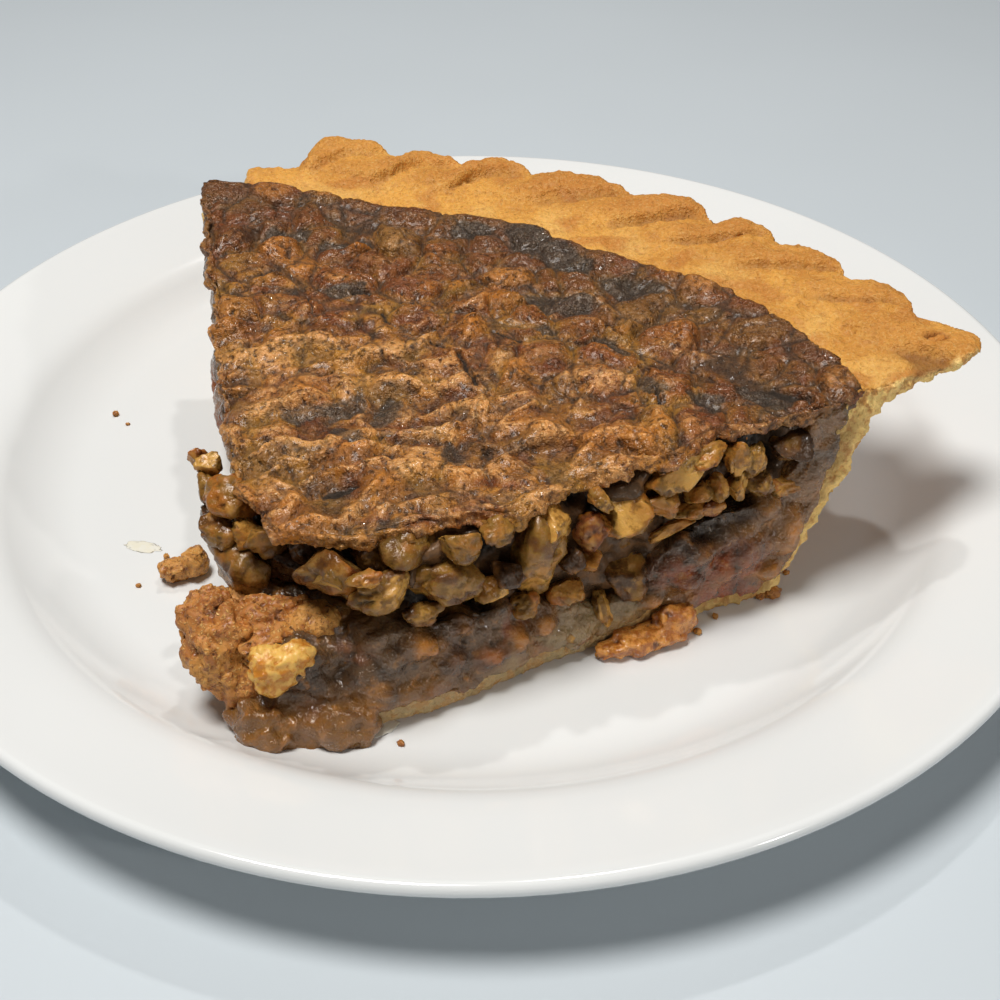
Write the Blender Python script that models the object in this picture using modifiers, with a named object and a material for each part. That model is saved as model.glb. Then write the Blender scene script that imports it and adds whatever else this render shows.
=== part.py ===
"""A cut slice of walnut pie on a plain white plate.

The plate's centre is the origin and it stands on z = 0.  The slice is laid out in polar
coordinates about its own point: a radius from that point, an angle counted anticlockwise
from +X, and a height above the table.  All dimensions are in millimetres and degrees, and
are turned into metres where a vertex is placed.
"""

import math

import bmesh
import bpy
from mathutils import Matrix, Vector, noise

MM = 0.001
GAP = 0.3                    # clearance left between pieces that touch

# Plate
PLATE_RADIUS = 115.0
PLATE_HEIGHT = 17.0
PLATE_STEPS = 44
LIP_RADIUS = 1.3
RIM_THICKNESS = 4.2
WELL_FLOOR = 4.0
WELL_FLAT_RADIUS = 78.0
WELL_EDGE_RADIUS = 94.3
WELL_EDGE_HEIGHT = 11.5
WELL_STEPS = 4
FOOT_OUTER_RADIUS = 66.0
FOOT_INNER_RADIUS = 59.0
FOOT_RECESS = 0.8

# Slice, in plan
POINT_X = -32.1
POINT_Y = -80.7
RIGHT_CUT = 25.0
LEFT_CUT = 102.0
PASTRY_SECTIONS = 46
LAYER_SECTIONS = 23          # half as many, so that every second pastry section is shared

# Pastry: base, wall and crimped rim
TABLE_TO_PASTRY = WELL_FLOOR + GAP
BASE_START = 12.0            # the base ends bluntly, under the run-out filling
RIM_EDGE_RADIUS = 109.0      # where the rim meets the baked top
RIM_EDGE_HEIGHT = 44.0
CORNER_LIFT = 2.5            # the far left corner stands higher and wider
CORNER_SPREAD = 5.5
NOSE_RADIUS = 130.5
NOSE_HEIGHT = 43.6
NOSE_ROUNDING = 2.6          # the rim's last crimp rounds off at the right cut
CRIMP_REACH = 6.0
CRIMP_HEIGHT = 3.0
CROWN_HEIGHT = 46.2
CRIMP_NOTCHES = (21.5, 31.6, 38.7, 46.0, 52.4, 60.3, 70.5, 77.4, 83.6, 92.0)
BROKEN_RIM = 92.0            # beyond this angle the rim is low and narrow
BROKEN_DROP = 1.6
BROKEN_WIDTH = 7.0
MISSING_RIM = 97.5           # beyond this angle it has broken away down to the filling

# Outer and inner side of the pastry wall, as (height, radius)
WALL_OUTSIDE = ((4.3, 93.5), (5.4, 96.5), (8.0, 98.8), (12.0, 101.6), (18.0, 104.2), (26.0, 108.2),
                (34.0, 110.8), (37.5, 111.8), (40.0, 115.0), (42.0, 120.5), (43.4, 126.0))
WALL_INSIDE = ((8.9, 92.0), (10.0, 97.0), (13.0, 99.2), (18.0, 100.6), (26.0, 102.8), (31.0, 104.6),
               (37.0, 104.8), (41.0, 105.5), (44.0, 109.0))

WALL_NARROWEST = 37.0        # height at which the wall stops widening, under the rim
CORNER_FILLET = 0.7          # the filling stands off the corner of base and wall

# Layer boundaries, as (radius, height)
BASE_TOP = ((0.0, 8.6), (50.0, 8.8), (65.0, 9.8), (80.0, 9.4), (92.0, 8.9), (112.0, 8.9))
CUSTARD_TOP = ((0.0, 11.0), (18.0, 12.5), (21.0, 23.0), (29.0, 23.5), (36.0, 21.5), (52.0, 18.5),
               (62.0, 15.5), (68.0, 17.0), (76.0, 23.5), (88.0, 26.0), (97.0, 29.5), (112.0, 36.0))
BAKED_TOP = ((0.0, 36.5), (24.0, 38.0), (36.0, 39.8), (46.0, 39.0), (60.0, 40.6), (76.0, 43.4), (90.0, 42.8),
             (109.0, 44.6), (120.0, 45.4))
# Radii of the grid lines that the layers share, so that their faces stay parallel
FRONT_STATIONS = (9.0, 13.0, 18.0)
WALNUT_STATIONS = (21.0, 29.0, 36.0, 44.0, 52.0, 60.0, 68.0, 76.0, 84.0, 90.0, 95.0, 98.5)
WALL_STATIONS = (98.8, 102.0, 106.0)
TOP_THICKNESS = 2.8
TOP_START = 16.0             # the baked top broke off in front of this radius
TOP_START_ANGLE = 60.0       # and further back towards either cut, by these distances
TOP_START_LEFT = 26.0
TOP_START_RIGHT = 12.0

# Loose pieces: centre in plan, half sizes, height of the centre and turn
FALLEN_TIP = dict(x=-34.8, y=-69.8, size=(11.2, 6.8, 7.0), height=16.4, turn=20.0)
FALLEN_WALNUT = dict(x=-26.8, y=-78.0, size=(4.7, 2.2, 4.2), height=19.4, turn=24.0)
CARAMEL_FLAKE = dict(x=31.6, y=-55.9, size=(8.8, 3.6, 2.9), height=6.5, turn=23.0)
LEFT_CRUMB = dict(x=-52.0, y=-38.0, size=(4.7, 3.9, 3.2), height=7.0, turn=20.0)

# Jelly that has run out of the slice: two low mounds, as centre, half sizes, height and turn
FRONT_POOL = dict(x=-28.8, y=-75.2, size=(9.0, 8.4, 7.4), height=4.4, turn=10.0)
SIDE_POOL = dict(x=-17.0, y=-72.8, size=(17.0, 5.6, 11.5), height=5.0, turn=22.0)
POOLS = (FRONT_POOL, SIDE_POOL)
SOFTENING_PASSES = 2         # rounds of smoothing that take the creases out of a lump

COLLECTION = "walnut_pie_slice"


def ramp(x, pairs):
    """Value at x on the straight runs through the (x, value) pairs."""
    if x <= pairs[0][0]:
        return pairs[0][1]
    for (x0, value0), (x1, value1) in zip(pairs, pairs[1:]):
        if x <= x1:
            return value0 + (value1 - value0) * (x - x0) / (x1 - x0)
    return pairs[-1][1]


def smooth(x, low, high):
    """0 below low, 1 above high, and an even curve between them."""
    t = min(max((x - low) / (high - low), 0.0), 1.0)
    return t * t * (3.0 - 2.0 * t)


def lumps(x, y, z, scale, seed=0.0):
    """Gentle noise from -1 to 1 whose bumps are about scale millimetres wide."""
    return noise.noise(Vector((x / scale + seed, y / scale - seed, z / scale + 0.37 * seed)))


def place(radius, angle, height, outwards=0.0):
    """A point of the slice, moved outwards from the nearer cut, in metres."""
    turn = math.radians(angle)
    side = 1.0 if angle < 0.5 * (RIGHT_CUT + LEFT_CUT) else -1.0
    x = POINT_X + radius * math.cos(turn) + side * outwards * math.sin(turn)
    y = POINT_Y + radius * math.sin(turn) - side * outwards * math.cos(turn)
    return Vector((x, y, height)) * MM


def corner(angle):
    """How far an angle is into the raised far left corner, from 0 to 1."""
    return smooth(angle, 78.0, 99.0)


def rim_edge_radius(angle):
    return RIM_EDGE_RADIUS + CORNER_SPREAD * corner(angle) + 1.2 * math.sin(math.radians(11.0 * angle))


def rim_edge_height(angle):
    return RIM_EDGE_HEIGHT + CORNER_LIFT * corner(angle)


def baked_top(radius, angle):
    """Height of the baked top, without its wrinkles."""
    return ramp(radius, BAKED_TOP) + CORNER_LIFT * corner(angle) * smooth(radius, 60.0, 110.0)


def baked_underside(radius, angle):
    return baked_top(radius, angle) - TOP_THICKNESS


def custard_top(radius, angle):
    lift = 1.2 * math.sin(math.radians(5.0 * angle)) * smooth(radius, 20.0, 40.0)
    return min(ramp(radius, CUSTARD_TOP) + lift, baked_underside(radius, angle) - 4.0)


def mound_top(x, y, spec):
    """Height of a run-out mound above a point of the plan, or 0 outside it."""
    turn = math.radians(spec["turn"])
    away_x, away_y = x - spec["x"], y - spec["y"]
    along = (away_x * math.cos(turn) + away_y * math.sin(turn)) / spec["size"][0]
    across = (away_y * math.cos(turn) - away_x * math.sin(turn)) / spec["size"][1]
    inside = 1.0 - (along ** 2 + across ** 2) / 1.15
    return spec["height"] + spec["size"][2] * math.sqrt(inside) if inside > 0.0 else 0.0


def jelly_surface(x, y):
    """Height of the jelly at the collapsed point of the slice."""
    layer = ramp(math.hypot(x - POINT_X, y - POINT_Y), CUSTARD_TOP)
    return max([layer] + [mound_top(x, y, spec) for spec in POOLS])


def plate_surface(x, y):
    """Height of the plate's top at a point of the plan, out to the edge of the well."""
    share = max(0.0, math.hypot(x, y) - WELL_FLAT_RADIUS) / (WELL_EDGE_RADIUS - WELL_FLAT_RADIUS)
    return WELL_FLOOR + (WELL_EDGE_HEIGHT - WELL_FLOOR) * min(share, 1.0) ** 2


def above_plate(x, y):
    slope = max(0.0, math.hypot(x, y) - WELL_FLAT_RADIUS) / (WELL_EDGE_RADIUS - WELL_FLAT_RADIUS)
    return plate_surface(x, y) + GAP * (1.0 + 2.0 * slope)


def wall_inside(height, angle):
    """Radius of the wall's inner side, which is stretched upwards in the raised corner."""
    height -= CORNER_LIFT * corner(angle) * smooth(height, 38.0, 44.0)
    spread = (rim_edge_radius(angle) - RIM_EDGE_RADIUS) * smooth(height, 20.0, 40.0)
    return ramp(height, WALL_INSIDE) + spread


def near_right_cut(angle):
    return 1.0 - smooth(angle, RIGHT_CUT, RIGHT_CUT + 3.0)


def crimp(angle):
    """0 in a notch and 1 on the crown of a crimp, which falls steeply on its far side."""
    for low, high in zip(CRIMP_NOTCHES, CRIMP_NOTCHES[1:]):
        if low <= angle <= high:
            share = (angle - low) / (high - low)
            return math.sin(math.pi * share ** 1.5) ** 0.7
    return 0.15


# ---------------------------------------------------------------- objects

def tidy_scene():
    for old in list(bpy.data.objects):
        bpy.data.objects.remove(old, do_unlink=True)


def new_collection(name):
    collection = bpy.data.collections.new(name)
    bpy.context.scene.collection.children.link(collection)
    return collection


def material(name, colour, roughness, metallic=0.0):
    made = bpy.data.materials.new(name)
    made.use_nodes = True
    shader = made.node_tree.nodes["Principled BSDF"]
    shader.inputs["Base Color"].default_value = (*colour, 1.0)
    shader.inputs["Roughness"].default_value = roughness
    shader.inputs["Metallic"].default_value = metallic
    made.diffuse_color = (*colour, 1.0)
    return made


def finish(name, bm, finish_material, collection, smooth_angle=None):
    """Turn a bmesh into a named object with outward faces."""
    bmesh.ops.recalc_face_normals(bm, faces=bm.faces)
    if bm.calc_volume(signed=True) < 0.0:
        bmesh.ops.reverse_faces(bm, faces=bm.faces)
    mesh = bpy.data.meshes.new(name)
    bm.to_mesh(mesh)
    bm.free()
    if smooth_angle is not None:
        mesh.shade_smooth()
        mesh.set_sharp_from_angle(angle=math.radians(smooth_angle))
    mesh.materials.append(finish_material)
    made = bpy.data.objects.new(name, mesh)
    collection.objects.link(made)
    return made


def loft(name, sections, finish_material, collection, smooth_angle):
    """A closed solid through sections that have the same number of points."""
    bm = bmesh.new()
    rings = [[bm.verts.new(point) for point in section] for section in sections]
    for near, far in zip(rings, rings[1:]):
        for index in range(len(near)):
            after = (index + 1) % len(near)
            bm.faces.new((near[index], near[after], far[after], far[index]))
    bm.faces.new(rings[0])
    bm.faces.new(rings[-1])
    return finish(name, bm, finish_material, collection, smooth_angle)


def block(name, cuts, shape, finish_material, collection, smooth_angle=40.0):
    """A cube cut into a grid of cells, whose points shape(u, v, w) then places."""
    bm = bmesh.new()
    bmesh.ops.create_cube(bm, size=1.0, matrix=Matrix.Translation((0.5, 0.5, 0.5)))
    for axis, count in enumerate(cuts):
        along = [edge for edge in bm.edges
                 if abs(edge.verts[0].co[axis] - edge.verts[1].co[axis]) > 0.5]
        bmesh.ops.subdivide_edges(bm, edges=along, cuts=count - 1, use_grid_fill=True)
    for vert in bm.verts:
        vert.co = shape(*vert.co)
    return finish(name, bm, finish_material, collection, smooth_angle)


def soften(bm):
    for _ in range(SOFTENING_PASSES):
        bmesh.ops.smooth_vert(bm, verts=bm.verts, factor=0.5,
                              use_axis_x=True, use_axis_y=True, use_axis_z=True)


def lump(name, spec, roughness, seed, finish_material, collection, subdivisions=3, squareness=0.75,
         floor=None):
    """An uneven rounded lump; floor(x, y) is the height it may not go below."""
    bm = bmesh.new()
    bmesh.ops.create_icosphere(bm, subdivisions=subdivisions, radius=1.0)
    turn = Matrix.Rotation(math.radians(spec["turn"]), 3, "Z")
    for vert in bm.verts:
        square = Vector([math.copysign(abs(value) ** squareness, value) for value in vert.co])
        size = Vector([value * half for value, half in zip(square, spec["size"])])
        size *= 1.0 + roughness * lumps(*(3.0 * vert.co), 1.0, seed)
        local = turn @ size
        x, y, z = spec["x"] + local.x, spec["y"] + local.y, spec["height"] + local.z
        if floor:
            z = max(z, floor(x, y))
        vert.co = Vector((x, y, z)) * MM
    soften(bm)
    return finish(name, bm, finish_material, collection, 50.0)


# ---------------------------------------------------------------- plate

def plate_profile():
    """The plate's half section, from the centre of its top out and back underneath."""
    points = [(0.0, WELL_FLOOR), (WELL_FLAT_RADIUS, WELL_FLOOR)]
    for step in range(1, WELL_STEPS):                 # hollow wall of the well
        share = step / WELL_STEPS
        radius = WELL_FLAT_RADIUS + (WELL_EDGE_RADIUS - WELL_FLAT_RADIUS) * share
        points.append((radius, WELL_FLOOR + (WELL_EDGE_HEIGHT - WELL_FLOOR) * share ** 2))
    points.append((WELL_EDGE_RADIUS, WELL_EDGE_HEIGHT))
    lip_x = PLATE_RADIUS - LIP_RADIUS
    lip_z = PLATE_HEIGHT - LIP_RADIUS
    for turn in (110, 60, 10, -40, -90):              # rolled lip
        points.append((lip_x + LIP_RADIUS * math.cos(math.radians(turn)),
                       lip_z + LIP_RADIUS * math.sin(math.radians(turn))))
    points.append((WELL_EDGE_RADIUS + 3.0, WELL_EDGE_HEIGHT - RIM_THICKNESS + 0.8))
    points.append((WELL_FLAT_RADIUS + 5.0, WELL_FLOOR - 1.4))
    points.append((FOOT_OUTER_RADIUS + 0.8, FOOT_RECESS))
    points.append((FOOT_OUTER_RADIUS, 0.0))
    points.append((FOOT_INNER_RADIUS, 0.0))
    points.append((FOOT_INNER_RADIUS - 1.0, FOOT_RECESS))
    points.append((0.0, FOOT_RECESS))
    return points


def make_plate(collection):
    glaze = material("white_glaze", (0.86, 0.86, 0.84), 0.18)
    bm = bmesh.new()
    verts = [bm.verts.new(Vector((radius, 0.0, height)) * MM) for radius, height in plate_profile()]
    for start, end in zip(verts, verts[1:]):
        bm.edges.new((start, end))
    mesh = bpy.data.meshes.new("plate")
    bm.to_mesh(mesh)
    bm.free()
    mesh.materials.append(glaze)
    plate = bpy.data.objects.new("plate", mesh)
    collection.objects.link(plate)
    screw = plate.modifiers.new("turned", "SCREW")
    screw.axis = "Z"
    screw.steps = PLATE_STEPS
    screw.render_steps = PLATE_STEPS
    screw.use_merge_vertices = True
    screw.merge_threshold = 0.00001
    screw.use_smooth_shade = True
    return plate


# ---------------------------------------------------------------- slice

def pastry_section(angle):
    """The pastry's section at an angle: base, wall and rim, as points in metres."""
    rise = crimp(angle)
    broken = smooth(angle, BROKEN_RIM - 1.0, BROKEN_RIM + 1.5)
    missing = smooth(angle, MISSING_RIM - 0.5, MISSING_RIM + 1.0)
    edge_radius = rim_edge_radius(angle)
    edge_height = rim_edge_height(angle) - 1.5 * missing
    nose = NOSE_RADIUS + CRIMP_REACH * rise - BROKEN_WIDTH * broken - NOSE_ROUNDING * near_right_cut(angle)
    nose += (edge_radius + 4.0 - nose) * missing
    crown = CROWN_HEIGHT + CRIMP_HEIGHT * rise + CORNER_LIFT * corner(angle) * 0.4 - BROKEN_DROP * broken
    crown += (edge_height - 0.2 - crown) * missing
    lip = max(nose - 9.0, edge_radius + 2.0)
    outline = [(BASE_START, TABLE_TO_PASTRY)]
    outline += [(min(radius, nose - 1.2), height) for height, radius in WALL_OUTSIDE]
    outline.append((nose, NOSE_HEIGHT + 0.6 * rise))
    outline.append((nose + 0.4, 0.5 * (NOSE_HEIGHT + crown) + 0.3))
    outline.append((nose - 1.5 - 2.0 * (1.0 - missing), crown))
    outline.append((lip, crown - (0.8 + 0.6 * rise) * (1.0 - missing)))
    outline.append((0.5 * (lip + edge_radius), max(edge_height + 0.9 - 0.9 * missing, crown - 2.0)))
    outline.append((edge_radius, edge_height))
    for height, _ in reversed(WALL_INSIDE[:-1]):
        outline.append((wall_inside(height, angle), height))
    outline += [(65.0, ramp(65.0, BASE_TOP)), (50.0, ramp(50.0, BASE_TOP)), (BASE_START, ramp(0.0, BASE_TOP))]
    return [place(radius, angle, height) for radius, height in outline]


def make_pastry(collection):
    baked = material("baked_pastry", (0.62, 0.36, 0.14), 0.75)
    step = (LEFT_CUT - RIGHT_CUT) / PASTRY_SECTIONS
    sections = [pastry_section(RIGHT_CUT + step * count) for count in range(PASTRY_SECTIONS + 1)]
    return loft("pastry", sections, baked, collection, 45.0)


def near_cut(share):
    """1 on either cut and 0 inside the slice, for a share of the way from cut to cut."""
    return 1.0 - smooth(min(share, 1.0 - share), 0.0, 0.12)


def custard_shape(share, out, up):
    """Dark jelly between the base and the walnuts, up to the baked top beyond them."""
    angle = RIGHT_CUT + (LEFT_CUT - RIGHT_CUT) * share
    stations = FRONT_STATIONS + WALNUT_STATIONS + WALL_STATIONS
    radius = stations[round(out * (len(stations) - 1))]
    bottom = ramp(radius, BASE_TOP) + GAP + CORNER_FILLET * smooth(radius, 84.0, 92.0)
    top = custard_top(radius, angle)
    if radius >= WALL_STATIONS[0]:
        top = baked_underside(radius, angle) - GAP
    height = bottom + (top - bottom) * up
    if radius > 85.0:
        radius = min(radius, wall_inside(min(height, WALL_NARROWEST), angle) - GAP)
    slump = 1.6 * math.sin(math.pi * up * 0.8 + 0.3) + 0.7 * lumps(radius, angle, height, 9.0, 2.0)
    return place(radius, angle, height, slump * near_cut(share) * smooth(radius, 8.0, 16.0))


def boolean(target, other, operation):
    change = target.modifiers.new(other.name, "BOOLEAN")
    change.operation = operation
    change.solver = "EXACT"
    change.object = other


def make_base_tool(collection):
    """The tip of the pastry's base, grown by the gap, to be cut out of the jelly."""
    bm = bmesh.new()
    corners = []
    for angle in (RIGHT_CUT, LEFT_CUT):
        for radius in (BASE_START - GAP, 60.0):
            corners.append(place(radius, angle, 0.0, GAP))
    order = (corners[0], corners[1], corners[3], corners[2])
    face = bm.faces.new([bm.verts.new(point) for point in order])
    raised = bmesh.ops.extrude_face_region(bm, geom=[face])
    top = Vector((0.0, 0.0, (ramp(0.0, BASE_TOP) + 0.5 * GAP) * MM))
    bmesh.ops.translate(bm, vec=top, verts=[v for v in raised["geom"] if isinstance(v, bmesh.types.BMVert)])
    return finish("base_tool", bm, None, collection)


def make_custard(collection, cutters):
    jelly = material("dark_custard", (0.16, 0.06, 0.025), 0.22)
    cells = len(FRONT_STATIONS + WALNUT_STATIONS + WALL_STATIONS) - 1
    custard = block("custard", (LAYER_SECTIONS, cells, 2), custard_shape, jelly, collection)
    for number, spec in enumerate(POOLS, start=1):
        mound = lump(f"pool_{number}", spec, 0.12, number, None, cutters, squareness=0.9, floor=above_plate)
        boolean(custard, mound, "UNION")
    boolean(custard, make_base_tool(cutters), "DIFFERENCE")
    return custard


def walnut_shape(share, out, up):
    """The heap of walnuts under the baked top, out to its uneven outline."""
    angle = RIGHT_CUT + (LEFT_CUT - RIGHT_CUT) * share
    radius = WALNUT_STATIONS[round(out * (len(WALNUT_STATIONS) - 1))]
    bottom = custard_top(radius, angle) + 3.0 * GAP
    top = baked_underside(radius, angle) - 2.0 * GAP
    height = bottom + (top - bottom) * up
    uneven = 2.2 * lumps(radius, 0.6 * angle, height, 5.0, 4.0) - 0.6
    front = 1.0 - smooth(out, 0.0, 0.05)
    radius += front * (0.5 + 1.6 * lumps(radius, angle, height, 5.0, 7.0)) * math.sin(math.pi * up)
    return place(radius, angle, height, uneven * near_cut(share))


def make_walnuts(collection):
    nut = material("walnut", (0.42, 0.27, 0.10), 0.5)
    cells = (LAYER_SECTIONS, len(WALNUT_STATIONS) - 1, 3)
    return block("walnut_layer", cells, walnut_shape, nut, collection, 30.0)


def top_shape(share, out, up):
    """The wrinkled baked skin over the slice, with ragged cut edges."""
    angle = RIGHT_CUT + (LEFT_CUT - RIGHT_CUT) * share
    away = (angle - TOP_START_ANGLE) / TOP_START_ANGLE
    start = TOP_START + (TOP_START_LEFT if away > 0.0 else TOP_START_RIGHT) * away ** 2
    stations = (start,) + WALNUT_STATIONS + WALL_STATIONS[1:] + (rim_edge_radius(angle) - 2.0 * GAP,)
    radius = max(start, stations[round(out * (len(stations) - 1))])
    turn = math.radians(angle)
    x, y = radius * math.cos(turn), radius * math.sin(turn)
    flat = 1.0 - smooth(out, 0.9, 1.0)
    wrinkle = (1.0 * lumps(x, 2.2 * y, 0.0, 11.0, 3.0) + 0.6 * lumps(x, y, 0.0, 6.0, 5.0)) * flat
    height = baked_underside(radius, angle) + (TOP_THICKNESS + wrinkle) * up
    radius = min(radius, wall_inside(height, angle) - 2.0 * GAP)
    ragged = 1.6 * lumps(radius, angle, 8.0 * up, 7.0, 9.0) - 1.2 + 0.6 * (1.0 - up)
    return place(radius, angle, height, ragged * near_cut(share))


def make_top(collection):
    baked = material("baked_top", (0.30, 0.13, 0.05), 0.55)
    cells = (LAYER_SECTIONS, len(WALNUT_STATIONS) + len(WALL_STATIONS), 1)
    return block("top_crust", cells, top_shape, baked, collection, 60.0)


def make_loose_pieces(collection):
    broken = material("fallen_crust", (0.48, 0.22, 0.07), 0.6)
    pale = material("pale_walnut", (0.72, 0.48, 0.16), 0.5)
    caramel = material("caramel", (0.52, 0.22, 0.06), 0.35)
    lump("fallen_tip", FALLEN_TIP, 0.30, 11.0, broken, collection,
         floor=lambda x, y: jelly_surface(x, y) + 4.0 * GAP)
    lump("fallen_walnut", FALLEN_WALNUT, 0.20, 12.0, pale, collection, 2)
    lump("caramel_flake", CARAMEL_FLAKE, 0.30, 13.0, caramel, collection, squareness=0.6, floor=above_plate)
    lump("left_crumb", LEFT_CRUMB, 0.35, 14.0, broken, collection, squareness=0.85, floor=above_plate)


def main():
    tidy_scene()
    pieces = new_collection(COLLECTION)
    cutters = new_collection("cutters")
    make_plate(pieces)
    make_pastry(pieces)
    make_custard(pieces, cutters)
    make_walnuts(pieces)
    make_top(pieces)
    make_loose_pieces(pieces)
    for tool in cutters.objects:
        tool.hide_render = True
        tool.display_type = "WIRE"


main()
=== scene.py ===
"""A cut slice of walnut pie on a white plate: the fine model, its finishes and the stage.

The plate's centre is the origin.  The slice is laid out in polar coordinates about its own
point: a radius in millimetres, an angle in degrees anticlockwise from +X, and a height above
the table in millimetres.  Everything is turned into metres where a vertex is placed.
"""

import math
import random

import bmesh
import bpy
from mathutils import Matrix, Vector, noise


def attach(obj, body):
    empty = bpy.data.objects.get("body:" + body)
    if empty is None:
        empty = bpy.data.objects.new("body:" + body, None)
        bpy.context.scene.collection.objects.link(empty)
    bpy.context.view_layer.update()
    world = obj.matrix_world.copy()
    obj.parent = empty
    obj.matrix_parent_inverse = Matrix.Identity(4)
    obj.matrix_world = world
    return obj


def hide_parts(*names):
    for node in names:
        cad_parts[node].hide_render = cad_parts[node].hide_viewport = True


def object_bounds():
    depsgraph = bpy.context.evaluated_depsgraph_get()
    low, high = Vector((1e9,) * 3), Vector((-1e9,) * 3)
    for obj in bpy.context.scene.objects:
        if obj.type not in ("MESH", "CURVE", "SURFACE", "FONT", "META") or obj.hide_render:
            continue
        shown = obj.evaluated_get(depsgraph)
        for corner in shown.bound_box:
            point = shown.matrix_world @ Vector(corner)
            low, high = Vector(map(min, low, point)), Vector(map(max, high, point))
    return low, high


bl_info = {
    "name": "Walnut Pie Slice",
    "version": (1, 0, 0),
    "blender": (4, 5, 0),
    "location": "View3D > Sidebar > Walnut Pie",
    "description": "Builds a cut slice of walnut pie on a plain white plate",
    "category": "Object",
}

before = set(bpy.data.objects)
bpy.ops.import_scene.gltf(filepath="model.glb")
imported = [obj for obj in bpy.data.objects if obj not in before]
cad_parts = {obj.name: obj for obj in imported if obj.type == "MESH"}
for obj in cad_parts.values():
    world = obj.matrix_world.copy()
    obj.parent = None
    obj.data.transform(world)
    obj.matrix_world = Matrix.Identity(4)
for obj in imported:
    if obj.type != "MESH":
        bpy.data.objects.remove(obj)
CAD_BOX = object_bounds()

MM = 0.001
BODY = "root"

# Slice, in plan
POINT_X = -32.1
POINT_Y = -80.7
RIGHT_CUT = 25.0
LEFT_CUT = 102.0
MIDDLE = 0.5 * (RIGHT_CUT + LEFT_CUT)

# Rim of the pastry
RIM_EDGE_RADIUS = 109.0      # where the rim meets the baked top
RIM_EDGE_HEIGHT = 44.0
CORNER_LIFT = 2.5            # the far left corner stands higher and wider
CORNER_SPREAD = 5.5
NOSE_RADIUS = 132.0
NOSE_HEIGHT = 43.6
CRIMP_REACH = 4.0
CROWN_HEIGHT = 45.4
CRIMP_NOTCHES = (21.5, 31.6, 38.7, 46.0, 52.4, 60.3, 70.5, 77.4, 83.6, 92.0)
BROKEN_RIM = 92.0            # beyond this angle the rim is low and narrow
MISSING_RIM = 97.5           # beyond this angle it has broken away down to the filling

# Layer boundaries, as (radius, height)
BASE_TOP = ((0.0, 8.6), (50.0, 8.8), (65.0, 9.8), (80.0, 9.4), (92.0, 8.9), (112.0, 8.9))
JELLY_TOP = ((0.0, 11.0), (16.0, 14.0), (20.0, 22.0), (28.0, 21.5), (36.0, 19.5), (46.0, 18.5),
             (54.0, 15.5), (60.0, 12.0), (66.0, 13.5), (72.0, 21.0), (80.0, 24.5), (90.0, 26.0),
             (97.0, 29.5), (112.0, 36.0))
BAKED_TOP = ((0.0, 36.5), (24.0, 38.0), (36.0, 39.8), (46.0, 39.0), (60.0, 40.6), (76.0, 43.4),
             (90.0, 42.8), (109.0, 44.6), (120.0, 45.4))
TOP_THICKNESS = 2.8
PLATE_TOP = 4.0

# How the rough noise is built up: how fast its finer bumps get lower and smaller, and how many sizes it has
GRIT_FALL = 0.8
GRIT_STEP = 2.1
GRIT_SIZES = 3


# ---------------------------------------------------------------- small helpers

def srgb(red, green, blue):
    """A colour picked on screen, as the linear values that a shader takes."""
    return tuple(value / 12.92 if value < 0.04045 else ((value + 0.055) / 1.055) ** 2.4
                 for value in (red, green, blue))


def ramp(x, pairs):
    """Value at x on the straight runs through the (x, value) pairs."""
    if x <= pairs[0][0]:
        return pairs[0][1]
    for (x0, value0), (x1, value1) in zip(pairs, pairs[1:]):
        if x <= x1:
            return value0 + (value1 - value0) * (x - x0) / (x1 - x0)
    return pairs[-1][1]


def smooth(x, low, high):
    """0 below low, 1 above high, and an even curve between them."""
    t = min(max((x - low) / (high - low), 0.0), 1.0)
    return t * t * (3.0 - 2.0 * t)


def fade(x, low, high):
    """1 below low, 0 above high, and an even curve between them."""
    return 1.0 - smooth(x, low, high)


def mix(low, high, share):
    return low + (high - low) * share


def shifted(point, size, seed):
    """Where to read a noise whose bumps are size millimetres wide; each seed reads another part of it."""
    return point / size + Vector((seed, 3.1 * seed, -1.7 * seed))


def lumps(point, size, seed):
    """Gentle noise from about -1 to 1."""
    return noise.noise(shifted(point, size, seed))


def grit(point, size, seed):
    """Rougher noise, whose coarsest bumps have the size given."""
    return noise.fractal(shifted(point, size, seed), GRIT_FALL, GRIT_STEP, GRIT_SIZES)


def domes(point, size, seed):
    """1 on the crown of rounded cells, and 0 in the furrows between them."""
    near = noise.voronoi(shifted(point, size, seed))[0]
    return 1.0 - min(1.0, near[0] / max(near[1], 1e-6)) ** 2


def lump_tint(point, size, seed):
    """A value from 0 to 1 that stays the same all over one of the cells of domes."""
    return noise.cell(7.3 * noise.voronoi(shifted(point, size, seed))[1][0])


def streak(point, x, y, half, length=0.0, turn=0.0):
    """1 on the middle line of a patch in plan, half millimetres wide to either side, and 0 outside it."""
    away_x, away_y = point.x - x, point.y - y
    if abs(away_x) + abs(away_y) > length + 2.0 * half:
        return 0.0
    cosine, sine = math.cos(math.radians(turn)), math.sin(math.radians(turn))
    along = min(max(away_x * cosine + away_y * sine, -0.5 * length), 0.5 * length)
    return fade(math.hypot(away_x - along * cosine, away_y - along * sine), 0.0, half)


def place(radius, angle, height, outwards=0.0):
    """A point of the slice, moved outwards from the nearer cut, in millimetres."""
    turn = math.radians(angle)
    side = 1.0 if angle < MIDDLE else -1.0
    x = POINT_X + radius * math.cos(turn) + side * outwards * math.sin(turn)
    y = POINT_Y + radius * math.sin(turn) - side * outwards * math.cos(turn)
    return Vector((x, y, height))


def polar(point):
    """Radius and angle of a point given in millimetres."""
    x, y = point.x - POINT_X, point.y - POINT_Y
    return math.hypot(x, y), math.degrees(math.atan2(y, x))


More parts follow.
